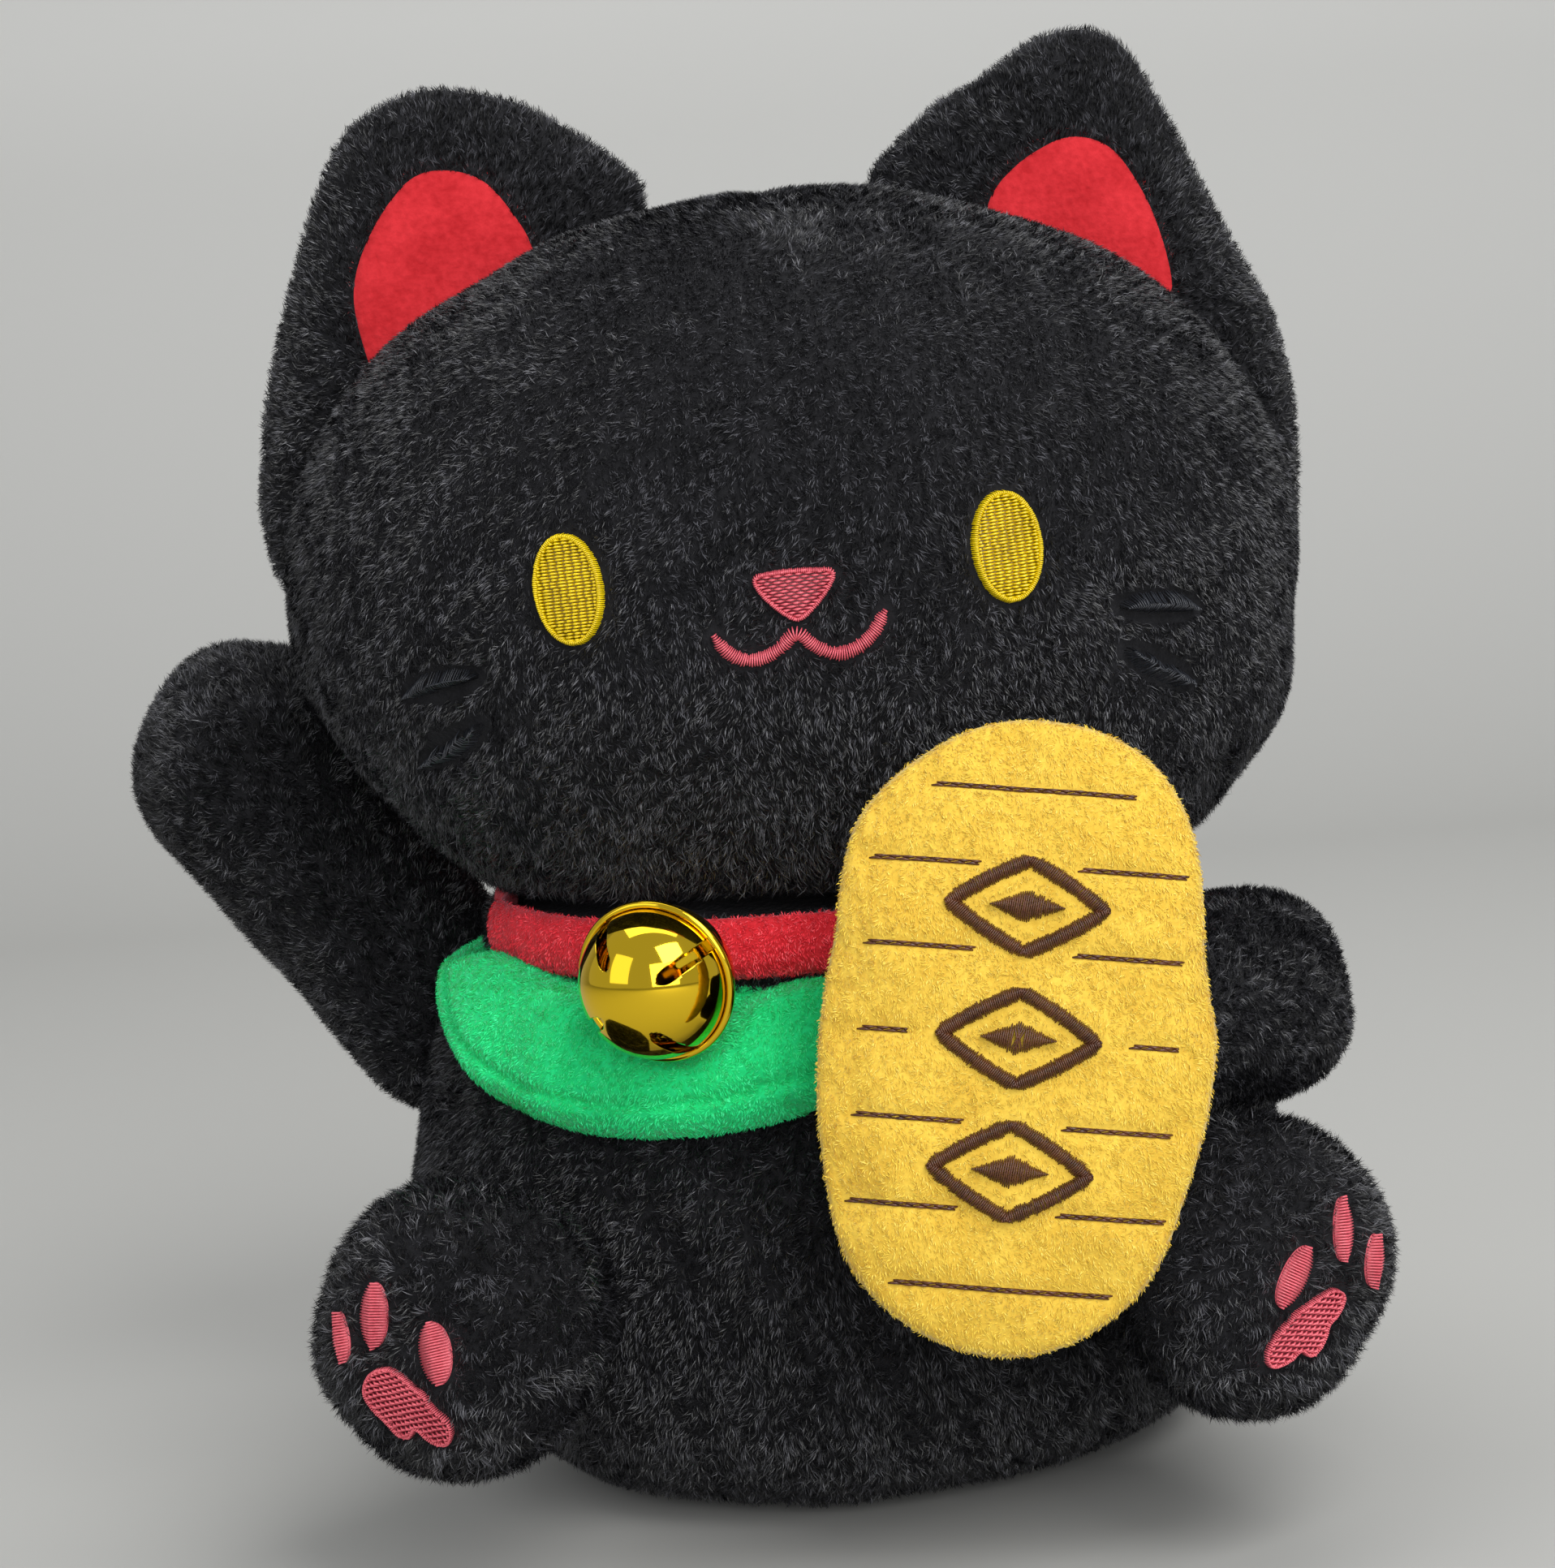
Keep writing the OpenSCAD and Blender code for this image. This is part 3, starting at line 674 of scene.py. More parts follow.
# ---- head
EYES = {"left": (-39.5, 1.9), "right": (39.4, 2.8)}
EYE_A, EYE_B = 6.4, 10.1
WHISKERS = {
    "left": [((-65.6, -14.2), 10.0), ((-65.2, -25.8), 30.0)],
    "right": [((67.1, -11.1), -6.0), ((66.5, -22.2), -32.0)],
}
NOSE = [(-6.6, 1.7), (-3.5, 2.1), (1.0, 2.3), (5.5, 2.1), (8.3, 1.9), (9.0, 0.8), (7.4, -1.8), (4.6, -4.6),
    (2.4, -6.2), (1.0, -6.7), (-0.4, -6.2), (-2.8, -4.6), (-5.6, -1.9), (-7.2, 0.6)]
MOUTH = [(-14.2, -8.2), (-12.2, -11.2), (-9.0, -13.1), (-5.4, -12.9), (-2.2, -11.2), (0.6, -9.0),
    (3.6, -11.6), (7.4, -13.3), (11.0, -12.6), (14.2, -10.2), (16.6, -6.4)]
mouth_line = spline(MOUTH, 90, closed=False)
nose_line = spline([(1 + (u - 1) * 0.9, v) for u, v in NOSE], 80)


def by_whisker(x, z):
    """For each whisker: distances along it and off it, of face places (x, z)."""
    for (wx, wz), lean in WHISKERS["left"] + WHISKERS["right"]:
        yield turned(x - wx, z - wz, -lean)


def d_head(p):
    q = p - HEAD
    z = q[:, 2]
    right = q[:, 0] > 0
    wide = 1 + np.where(
        right,
        0.10 * smooth(-z, 12, 45) + 0.10 * smooth(-z, 45, 66),
        -0.012 * smooth(-z, 10, 30) * smooth(z, -75, -40),
    )
    q = q / np.stack([wide, np.ones_like(wide), np.ones_like(wide)], 1)
    d = d_egg(q, (0, 0, 0), HEAD_R - PILE)
    return smax(d, 121.6 - p[:, 2], 3.0)


head = star("head_plush", HEAD, d_head, SKIN)
co, nrm = surface(head)
front = smooth(-co[:, 1], 20, 50)
x, z = co[:, 0], co[:, 2] - Z_EAR
dent = np.zeros(len(co))
for along, off in by_whisker(x, z):
    past = np.maximum(np.abs(along) - 6.5, 0)
    dent += 3.0 * np.exp(-((np.hypot(past, off) / 4.4) ** 2)) * front
for ex, ez in EYES.values():
    dent += 1.0 * np.exp(-((np.hypot((x - ex) / 10.5, (z - ez) / 14.5)) ** 4)) * front
dent += 0.8 * np.exp(-((np.hypot((x - 1) / 17, (z + 6) / 12)) ** 4)) * front
dent += 0.7 * np.exp(-((x / 3.0) ** 2)) * smooth(z, 30, 55) * (co[:, 1] < 10)
set_points(head, co - nrm * dent[:, None] + nrm * 0.5 * waves(co, 46, 11)[:, :1])
dress(head, "head", ("head_skin", "head_filling"))


def comb_head(p, n):
    g = np.stack([0.25 * p[:, 0] / 100, -0.25 * np.ones(len(p)), -np.ones(len(p))], 1)
    top = smooth(p[:, 2] - HEAD[2], 35, 70)[:, None]
    out = unit(np.stack([p[:, 0], (p[:, 1] - HEAD[1]) * 1.0, np.zeros(len(p))], 1))
    g = g * (1 - top) + out * top
    away = p - [-4.0, -48.0, HEAD[2] + 56.0]  # from the whorl above the forehead
    near = np.exp(-((np.linalg.norm(away, axis=1) / 17) ** 2))[:, None]
    spin = np.cross(n, away) * 0.9 + away * 0.4
    return g + near * 3.0 * unit(spin)


def face_keep(p, n):
    ok = p[:, 2] > 122.0
    fx, fz, fy = p[:, 0], p[:, 2] - Z_EAR, p[:, 1] < -20
    for ex, ez in EYES.values():
        ok &= ~(fy & (np.hypot((fx - ex) / (EYE_A + 0.7), (fz - ez) / (EYE_B + 0.7)) < 1))
    ok &= ~(fy & inside(1.08 * (nose_line - [1, -2]) + [1, -2], fx, fz))
    near = fy & (np.abs(fx - 1) < 20) & (np.abs(fz + 10) < 8)
    k = np.flatnonzero(near)
    if len(k):
        d = np.min(np.hypot(fx[k, None] - mouth_line[None, :, 0], fz[k, None] - mouth_line[None, :, 1]),
            axis=1)
        ok[k[d < 1.7]] = False
    for along, off in by_whisker(fx, fz):
        ok &= ~(fy & (np.hypot(along / 8.9, off / 3.1) < 1))
    return ok


def head_length(p):
    return 2.2 + 2.0 * smooth((HEAD - p)[:, 2] / HEAD_R[2], 0.5, 0.85)


# Painted highlight: the head takes more of the brightest fur tone than the body, so it reads lighter, like
# fur lit from above.
pile("fur_head", "head", head, 6.8, head_length, comb_head, keep=face_keep, seed=31,
    weights=[3.3, 3.2, 2.4, 1.2])

face = Cloth(head, (0, -10, Z_EAR), (1, 0, 0), (0, 0, 1), reach=150)
for side, (ex, ez) in EYES.items():
    rim = ellipse(ex, ez, EYE_A, EYE_B, 3.0 if side == "left" else 2.0, 96)
    patch(f"eye_{side}_ground", face, rim, (ex, ez), EYE_PAINTED_SHADE, "head", high=0.7, edge=-0.9)
    t = Threads(face)
    t.fill(
        lambda a, b, ex=ex, ez=ez: np.hypot((a - ex) / (EYE_A - 0.7), (b - ez) / (EYE_B - 0.7)) < 1,
        (ex - EYE_A, ex + EYE_A, ez - EYE_B, ez + EYE_B), pitch=0.58, step=1.5, high=1.35, low=0.6,
        lean=3, brick=1, seed=7, half=0.25, stray=0.2,
    )
    t.satin(ellipse(ex, ez, EYE_A - 0.55, EYE_B - 0.55, 3.0, 120), 1.5, high=1.45, closed=True)
    t.build(f"eye_{side}_stitches", EYE_THREAD, "head", "yellow_thread", f"eye_{side}")

patch("nose_ground", face, nose_line, (1, -1.5), PINK_PAINTED_SHADE, "head", high=0.6, edge=-0.8)
t = Threads(face)
t.fill(lambda a, b: inside(nose_line, a, b), (-8, 10, -8, 3), pitch=0.56, step=1.9, high=1.25, low=0.45,
    lean=2, brick=2, seed=9, half=0.24, stray=0.12)
t.satin(0.95 * (nose_line - [1, -2]) + [1, -2], 1.25, high=1.3, closed=True)
t.build("nose_stitches", PINK_THREAD, "head", "pink_thread", "nose")

t = Threads(face)
t.satin(mouth_line, 2.95 * np.sqrt(np.clip(from_ends(90) / 0.05, 0.18, 1)), high=1.5, gap=0.43)
t.build("mouth_stitches", PINK_THREAD, "head", "pink_thread", "mouth")

for side, pair in WHISKERS.items():
    t = Threads(face)
    for (wx, wz), lean in pair:
        k = np.linspace(-1, 1, 40)
        bow = 0.9 * (1 - k**2) * (1 if wz > -18 else -1)
        line = np.stack(turned(7.2 * k, bow, lean), 1) + [wx, wz]
        t.satin(line, 3.9 * np.sqrt(np.clip(1 - k**2, 0.02, 1)) + 0.2, high=3.4, gap=0.42)
    t.build(f"whiskers_{side}_stitches", BLACK_THREAD, "head", "black_thread", f"whiskers_{side}")


# ---- ears
EAR_LEFT = [(-108.5, 16.2), (-107.3, 31.2), (-105.9, 41), (-102.4, 54), (-98.7, 65.3), (-93.1, 79.7),
    (-87, 90.7), (-82.2, 96.8), (-73.4, 101.3), (-66.6, 102.8), (-60.8, 102.6), (-50.3, 100), (-43.9, 97),
    (-37.6, 92.9), (-30.6, 87.7), (-23.8, 81), (-22.5, 76.8), (-24, 64), (-34, 42), (-58, 16), (-84, 0),
    (-103, 0)]
EAR_RIGHT = [(105.3, 6), (106, 15.9), (105.9, 25.9), (103.6, 41), (98.7, 53), (93, 65.9), (85.9, 82),
    (78.6, 95.7), (74.1, 101), (66.8, 103.6), (57.6, 102.1), (50.7, 98.2), (43.8, 94.2), (36.9, 91.2),
    (28, 83.8), (21.6, 77), (22, 64), (33, 42), (56, 14), (84, -6), (102, -6)]
LINING_LEFT = [(-81.5, 43), (-84.4, 60.5), (-80.2, 73.2), (-70.8, 84.6), (-62.4, 86.3), (-54.5, 83.1),
    (-48.6, 75.3), (-45.6, 69), (-43, 58), (-52, 40), (-68, 26), (-78, 28)]
LINING_RIGHT = [(44, 66.9), (47.5, 73.4), (55.3, 79.2), (63.7, 81.7), (71.6, 78.6), (77.5, 69.1),
    (80.8, 59.1), (82.2, 49.2), (80.6, 44.8), (75, 30), (62, 24), (48, 38), (42, 54)]


def off_head(p):
    return np.linalg.norm((p - HEAD) / (HEAD_R - [1.5, 1, 1]), axis=1) > 0.97


def ear(name, outline, lining, centre, seed):
    rim = spline(outline, 220)
    mid = np.asarray(centre, float)
    flat, _, swell, lumps = cushion(rim + unit(mid - rim) * PILE, mid, 46, 26.0, 0.5, 26, seed)
    thin = 1 - 0.45 * smooth(flat[:, :, 1], 40, 100)
    face_y = 9.0 - (12.0 * thin + lumps) * swell
    back_y = 9.0 + (11.0 * thin - lumps) * swell
    slim = 1 - 0.45 * smooth(mid[1], 40, 100)
    co, tris, quads = pillow(mid, flat, face_y, back_y, 9 - 12.0 * slim, 9 + 11.0 * slim)
    ob = mesh_object(f"{name}_plush", co + [0, 0, Z_EAR], tris=tris, quads=quads, mats=SKIN)
    clean(ob)
    stuff(ob, 3.5, 0.4, 3.0, slack=0.75, share=(0.25, 1.0, 0.25))
    dress(ob, "head", (name,))
    cloth = Cloth(ob, (0, 0, Z_EAR), (1, 0, 0), (0, 0, 1), reach=80)
    red = spline(lining, 120)
    inner = red.mean(0)
    pad = patch(f"{name}_lining_panel", cloth, red, inner, RED_SKIN, "head", high=0.5, edge=-0.6,
        nodes=(f"{name}_lining",))
    bulk = inner + (red - inner) * 0.93
    loose = inner + (red - inner) * 1.03

    def keep_black(p, nr):
        return off_head(p) & ~(inside(bulk, p[:, 0], p[:, 2] - Z_EAR) & (p[:, 1] < 9))

    def comb(p, nr):
        out = unit((p - [mid[0], 9.0, mid[1] + Z_EAR]) * [1, 0, 1])
        return out * 0.9 + [0, 0, 0.5]

    pile(f"fur_{name}", "head", ob, 6.2, 2.3, comb, keep=keep_black, seed=seed, weights=[3.6, 3.4, 2.0, 0.9])

    def keep_red(p, nr):
        return off_head(p) & (nr[:, 1] < -0.4) & inside(loose, p[:, 0], p[:, 2] - Z_EAR)

    pile(
        f"fur_{name}_lining", "head", pad, 8.0, 2.6, lambda p, nr: comb(p, nr) * 0.8, RED_FUR,
        keep=keep_red, seed=seed + 50, width=0.2, lift=(25, 60), slot="red_pile", shade=1.0, clump=0.8,
        weights=[1.2, 3, 1.3],
    )


ear("ear_left", EAR_LEFT, LINING_LEFT, (-68, 52), 61)
ear("ear_right", EAR_RIGHT, LINING_RIGHT, (68, 50), 67)


# ---- body
def d_body(p):
    d = d_egg(p, BODY, BODY_R - PILE)
    y = p[:, 1] * cos(C_TILT) + (p[:, 2] - COLLAR_Z) * sin(C_TILT)
    z = (p[:, 2] - COLLAR_Z) * cos(C_TILT) - p[:, 1] * sin(C_TILT)
    neck = smax(np.hypot(p[:, 0], y / 0.98) - 68.6, np.abs(z + 5.0) - 8.0, 3.0)
    d = smax(smin(d, neck, 3.0), 1.0 - p[:, 2], 9.0)
    return smax(d, p[:, 2] - 120.9, 2.0)


body = star("body_plush", BODY, d_body, SKIN)
co, nrm = surface(body)
seam = 1.5 * np.exp(-(((co[:, 2] - 6.0) / 1.6) ** 2))
set_points(body, co - nrm * seam[:, None] + nrm * 0.6 * waves(co, 50, 17)[:, :1])
dress(body, "torso", ("body_skin", "body_filling", "bottom_panel", "neck_roll"))

# each limb: its root and its radius, its paw and its radius
LIMBS = {
    "raised": ((-80, 14, 93), 21, (-117, 26, 147), 26),
    "coin": ((83.5, -8, 87), 23.5, (54, -80, 96), 17),
    "leg_left": ((-62, -56, 49), 19, (-71.2, -88, 52.5), 27.5),
    "leg_right": ((62, -56, 49), 19, (71.2, -88, 52.5), 27.5),
}


def near_limb(p, grow):
    return np.min([d_limb(p, a, b, ra + grow, rb + grow) for a, ra, b, rb in LIMBS.values()], axis=0)


def keep_body(p, n):
    return (
        (near_limb(p, -2.5) > 0)
        & ((p[:, 2] < 108) | (np.hypot(p[:, 0] / 60, (p[:, 1] + 8) / 50) > 1))
        & (p[:, 2] > -0.4)
        & (n[:, 2] > -0.9)
    )


def comb_body(p, n):
    return np.stack([0.15 * p[:, 0] / 80, -0.1 * np.ones(len(p)), -np.ones(len(p))], 1)


def body_length(p):
    return 2.7 - 0.6 * smooth(-p[:, 2], -9, -1)


pile("fur_body", "torso", body, 6.2, body_length, comb_body, keep=keep_body, seed=41,
    weights=[3, 3.4, 2.2, 1.0])

# ---- arms
SH_R, PAW_R, SH_C, PAW_C = (np.array(LIMBS[k][i], float) for k in ("raised", "coin") for i in (0, 2))
COIN = np.array([33.0, -105.8, 100.3])
lean, turn = radians(11), radians(9)
rot_x = np.array([[1, 0, 0], [0, cos(-lean), -sin(-lean)], [0, sin(-lean), cos(-lean)]])
rot_y = np.array([[cos(turn), 0, sin(turn)], [0, 1, 0], [-sin(turn), 0, cos(turn)]])
COIN_R = rot_x @ rot_y


def d_raised(p):
    d = d_limb(p, SH_R, PAW_R, 21 - PILE, 25.0 - PILE)
    paw = d_egg(p, PAW_R + [0, -1, 1.0], (25.8 - PILE, 25.5 - PILE, 26 - PILE))
    return smin(d, paw, 6.0)


def limb_object(limb, centre, dist, seed):
    """A limb's skin: lumpy, stuffed, and for the raised arm creased below its paw."""
    ob = star(f"{limb}_plush", centre, dist, SKIN, far=110)
    co, nrm = surface(ob)
    set_points(ob, co + nrm * 0.45 * waves(co, 30, seed)[:, :1])
    stuff(ob, 4.0, 0.3, 1.6)
    if limb == "raised_arm":
        co = points_of(ob)
        d = d_limb(co, (-100.3, 1, 165.5), (-97, 1, 150), 0.1, 0.1)
        co[:, 1] += 2.4 * np.exp(-((d / 2.4) ** 2)) * (co[:, 1] < 15)
        set_points(ob, co)
    dress(ob, limb, (f"{limb}_skin", f"{limb}_filling"))
    return ob


def off_body(p):
    """Which points lie clear of the body; limb strands may dip 2 mm into it."""
    return d_egg(p, BODY, BODY_R) > -2.0


raised = limb_object("raised_arm", (SH_R + PAW_R) / 2, d_raised, 71)
# Painted shade: the raised arm's strands take darker tones than the other arm's, darkening it as shade would.
pile(
    "fur_raised_arm", "raised_arm", raised, 6.2, 2.6, comb_to(unit(PAW_R - SH_R) * 0.8),
    keep=lambda p, n: off_body(p), seed=73, weights=[3.8, 3.2, 1.9, 0.9],
)


def d_coin_arm(p):
    d = d_limb(p, SH_C, PAW_C, 23.5 - PILE, 17 - PILE)
    q = (p - COIN) @ COIN_R
    return smax(d, 8.6 - q[:, 1], 3.0)


coin_arm = limb_object("coin_arm", (SH_C + PAW_C) / 2, d_coin_arm, 75)


def keep_coin_arm(p, n):
    q = (p - COIN) @ COIN_R
    return off_body(p) & (q[:, 1] > 7.2)


pile(
    "fur_coin_arm", "coin_arm", coin_arm, 6.2, 2.6, comb_to(unit(PAW_C - SH_C) * 0.8),
    keep=keep_coin_arm, seed=77, weights=[3, 3.4, 2.2, 1.0],
)


# ---- legs
# each sole's main pad as an outline, then its toes as (across, up, lean, half width, half height)
MAIN_LEFT = [(6.6, -10.7), (5.5, -9.0), (3.9, -8.0), (2.3, -7.2), (0.5, -5.7), (-3.1, -4.2), (-7.0, -5.6),
    (-8.7, -8.8), (-7.4, -11.7), (-5.6, -13.5), (-4.0, -15.0), (-2.5, -16.5), (0.0, -16.9), (2.3, -15.0),
    (5.2, -17.2), (8.5, -17.4), (10.0, -13.7)]
MAIN_RIGHT = [(4.4, -10.6), (6.6, -9.0), (8.2, -6.2), (6.4, -4.6), (3.2, -5.1), (0.4, -6.2), (-2.5, -7.3),
    (-5.1, -9.1), (-7.6, -11.2), (-9.3, -14.2), (-8.0, -16.2), (-4.6, -15.6), (-2.2, -14.2), (-0.2, -15.6),
    (2.0, -14.6), (3.4, -12.6)]
PADS = {
    "left": [MAIN_LEFT, (-5.1, 5.0, -4, 3.1, 6.2), (7.5, -1.2, 10, 3.6, 5.9), (-13.2, 0.4, 10, 2.3, 4.8)],
    "right": [MAIN_RIGHT, (-2.2, -0.8, -36, 2.9, 6.2), (9.2, 5.4, -9, 2.3, 6.0), (16.0, -1.5, -14, 2.6, 5.0)],
}


def leg(side):
    s = -1 if side == "left" else 1
    rides, rise = f"leg_{side}", radians(6)

    def heading(deg):
        a = radians(deg)
        return np.array([sin(a) * s * cos(rise), -cos(a) * cos(rise), sin(rise)])

    axis, face_n = heading(16), heading(30)
    hip = np.array([62.0 * s, -56, 49])
    ball = hip + 33.5 * axis
    right = unit(np.cross([0, 0, 1.0], face_n))
    up = np.cross(face_n, right)

    def dist(p):
        d = d_limb(p, hip, ball, 19 - PILE, 27.5 - PILE)
        return smax(d, (p - ball) @ face_n - (20 - PILE), 9.0)

    ob = limb_object(rides, (hip + ball) / 2, dist, 81 + s)
    sole = Cloth(ob, ball, right, up, reach=60)
    pads = []
    for pad in PADS[side]:
        if len(pad) > 5:
            shape = spline(pad, 90)
            pads.append((shape, (shape.max(0) + shape.min(0)) / 2, 0))
        else:
            u, v, tilt, a, b = pad
            pads.append((ellipse(u, v, a, b, tilt, 60), np.array([u, v]), tilt))

    def in_pads(p):
        q = p - ball
        hit = [inside(c + (shape - c) * 1.06, q @ right, q @ up) for shape, c, _ in pads]
        return np.any(hit, axis=0) & (q @ face_n > 8)

    t = Threads(sole)
    for i, (shape, c, tilt) in enumerate(pads):
        main = i == 0
        patch(
            f"pad_{side}_{i + 1}_ground", sole, shape, c, PINK_PAINTED_SHADE if main else PINK_THREAD, rides,
            high=0.7, edge=-0.9,
        )
        (u0, v0), (u1, v1) = shape.min(0), shape.max(0)
        inner = c + (shape - c) * 0.97
        kind = dict(pitch=0.56, step=1.9, high=1.35, lean=18 * s, brick=2, half=0.25, stray=0.12)
        if not main:
            kind = dict(pitch=0.5, step=0, high=1.7, lean=tilt + 4, brick=1)
        t.fill(lambda a, b, q=inner: inside(q, a, b), (u0, u1, v0, v1), low=0.5, seed=90 + i, **kind)
        if main:
            t.satin(c + (shape - c) * 0.95, 1.0, high=1.3, gap=0.38, closed=True)
    t.build(f"paw_pads_{side}_stitches", PINK_THREAD, rides, "pink_thread", f"paw_pads_{side}")

    def comb(p, n):
        q = p - ball
        flat = q - (q @ face_n)[:, None] * face_n
        onsole = smooth(q @ face_n, 8, 16)[:, None]
        along = np.tile(axis, (len(p), 1))
        return along * (1 - onsole) * 0.9 + unit(flat) * onsole * 0.5 + np.array([0, 0, -0.3])

    def length(p):
        return 3.5 - 0.7 * smooth((p - ball) @ face_n, 10, 16)

    # Painted shade and light: the left leg, on the side away from the key light, takes darker tones; the
    # right leg takes lighter ones.
    pile(
        f"fur_{rides}", rides, ob, 6.2, length, comb,
        keep=lambda p, n: ~in_pads(p) & off_body(p),
        seed=85 + s, weights=[6.0, 3.0, 1.2, 0.3] if side == "left" else [3.2, 3.2, 2.2, 1.2],
    )


leg("left")
leg("right")


# ---- collar
def loft(name, rings, mat):
    """Rings of equal count joined in a closed tube."""
    rings = np.asarray(rings)
    m, n = rings.shape[:2]
    quads = []
    for i in range(m):
        a, b = i * n, (i + 1) % m * n
        quads += [(a + j, a + (j + 1) % n, b + (j + 1) % n, b + j) for j in range(n)]
    return mesh_object(name, rings.reshape(-1, 3), quads=quads, mats=mat)


def collar_point(angle, out, up):
    """A place on the collar: angle from -Y towards +X, out and up from the band's middle line."""
    r = COLLAR_R * (1 - 0.00042 * up * up) + out
    y = -0.98 * r * cos(angle)
    return np.array([r * sin(angle), y * cos(C_TILT), COLLAR_Z + up + y * sin(C_TILT)])


rings = []
for k in range(300):
    a = 2 * pi * k / 300
    puff = 0.25 * sin(7 * a + 1) + 0.2 * sin(17 * a)
    deg = np.array(degrees(a))
    tuck = (smooth(deg, 236, 250) * (1 - smooth(deg, 285, 296))).item()
    prof = []
    for j in range(28):
        t = 2 * pi * j / 28
        c, s = cos(t), sin(t)
        o = 1.7 * copysign(abs(c) ** 0.7, c) + (0.6 + 0.2 * puff if c > 0 else 0) * abs(c)
        u = 5.6 * copysign(abs(s) ** 0.75, s)
        prof.append(collar_point(a, o - 5.5 * tuck, u + 0.25 * sin(5 * a + 2)))
    rings.append(prof)
collar = loft("collar_band", rings, COLLAR_SKIN)
clean(collar)
dress(collar, "torso", ("collar",))
pile("nap_collar", "torso", collar, 6.5, 1.1, comb_to([0, 0, -1.0]), COLLAR_FUR, seed=101, clump=0.5,
     keep=lambda p, n: np.hypot(p[:, 0], p[:, 1] / 0.98) > 68.4, **NAP, slot="red_velour")

# ---- bib
BIB_TURN = radians(26)
bib_n = np.array([-sin(BIB_TURN), -cos(BIB_TURN), 0])
bib_u = np.array([cos(BIB_TURN), -sin(BIB_TURN), 0])
BELL = np.array([-30.2, -84.0, 112.4])
BELL_D = unit([-0.37, -0.92, -0.13])


def bib_base(u, w):
    """The body's surface seen along the bib's direction: u across, w up from z 112."""
    o = u * bib_u + np.array([0, 0, 112 + w - BODY[2]])
    start, way = o / BODY_R, bib_n / BODY_R
    a, b, c = way @ way, 2 * start @ way, start @ start - 1
    t = (-b + sqrt(max(b * b - 4 * a * c, 0))) / (2 * a)
    p = o + t * bib_n + BODY
    return p, unit((p - BODY) / BODY_R**2)


BIB_HALF, BIB_DROP = 62, 31.5  # half its width along the collar, and how far it hangs


def make_bib():
    """An apron hung from the collar as half an ellipse, folded over near its top."""
    across, down = 150, 60
    front, back = [], []
    for i in range(across + 1):
        e = -1 + 2 * i / across
        u = BIB_HALF * sin(e * pi / 2)
        depth = BIB_DROP * sqrt(max(1 - (u / BIB_HALF) ** 2, 0))
        for j in range(down + 1):
            f = sin(j / down * pi / 2)
            w = -2.0 - max(depth - 2.0, 0.02) * f
            p, n = bib_base(u, w)
            inset = (1 - min(hypot(u / BIB_HALF, w / BIB_DROP), 1)) * BIB_DROP
            swell = sqrt(1 - (1 - min(inset / 7.0, 1)) ** 2)
            fold = 3.2 + 8.6 * exp(-(((u - 6) / 27) ** 2)) + 1.2 * sin(0.21 * u)
            thick = 1.2 + swell * (1.2 + 8.2 * smooth(np.array(-w), fold - 2.5, fold + 4.5).item())
            thick -= 1.7 * exp(-(((inset - 4.4) / 1.0) ** 2))
            thick += 0.5 * sin(0.32 * u + 1.0) * smooth(np.array(-w), 6, 16).item()
            q = p + n * thick
            away = np.linalg.norm(q - (BELL - BELL_D * 3))
            if away < 19:
                q = q - n * min((19 - away) * 0.9, thick - 0.8)
            front.append(q)
            back.append(p + n * 0.5)
    m, k, off = across + 1, down + 1, len(front)

    def wall(a, b):
        return (a, off + a, off + b, b)

    quads = []
    for i in range(m - 1):
        for a in range(i * k, i * k + k - 1):
            quads += [(a, a + 1, a + k + 1, a + k), (off + a + k, off + a + k + 1, off + a + 1, off + a)]
    for a in range(0, off - k, k):
        quads += [wall(a + k, a), wall(a + k - 1, a + 2 * k - 1)]
    for j in range(k - 1):
        quads += [wall(j, j + 1), wall(off - k + j + 1, off - k + j)]
    ob = mesh_object("bib_apron", np.vstack([front, back]), quads=quads, mats=BIB_SKIN)
    clean(ob, weld=0.02)
    stuff(ob, 1.8, 0.5, 2.0, axes=np.stack([bib_u, bib_n, [0, 0, 1.0]], 1), share=(0.4, 1.0, 0.4))
    dress(ob, "torso", ("bib",))
    return ob


bib = make_bib()
pile("nap_bib", "torso", bib, 7.5, 1.15, comb_to([0, 0, -1.0]), BIB_FUR, seed=111, clump=0.7,
     keep=lambda p, n: (n @ bib_n) > -0.2, **NAP, slot="green_velour")

# ---- coin
COIN_EDGE = [(35.4, 2.4), (34.2, 8.5), (32.8, 16), (31.7, 25.8), (30.0, 34.8), (26.6, 43.6), (21.0, 50.6),
    (13.5, 55.0), (5, 56.9), (-4, 56.8), (-12.5, 54.2), (-20, 49.4), (-26.6, 43.2), (-31.2, 36), (-33, 27),
    (-33.6, 18), (-34.6, 8.4), (-35.1, 0), (-34.9, -9), (-34.2, -17), (-32.4, -26), (-30, -35), (-26, -43),
    (-20, -49), (-13, -53.2), (-5, -55.7), (3.6, -55.9), (11.7, -53.6), (19.4, -48.6), (25.4, -42),
    (29, -34.6), (31.4, -26), (33.4, -18), (34.9, -8.8)]
coin_outline = spline(COIN_EDGE, 240)

# the stitched lines on the coin's front: from, to and height; the middle ones stop short of the motif
INNER = {0: 19.2, 1: 8.4, 2: 8.4}
LINES = [(-18.0, 18.0, 43.5), (-19.5, 19.5, -43.5)]
LINES += [(a, b, 15.0 * i) for i in range(-2, 3) for a, b in ((-28.0, -INNER[abs(i)]), (INNER[abs(i)], 28.0))]
LOZENGES = [23.0, 0.0, -23.0]


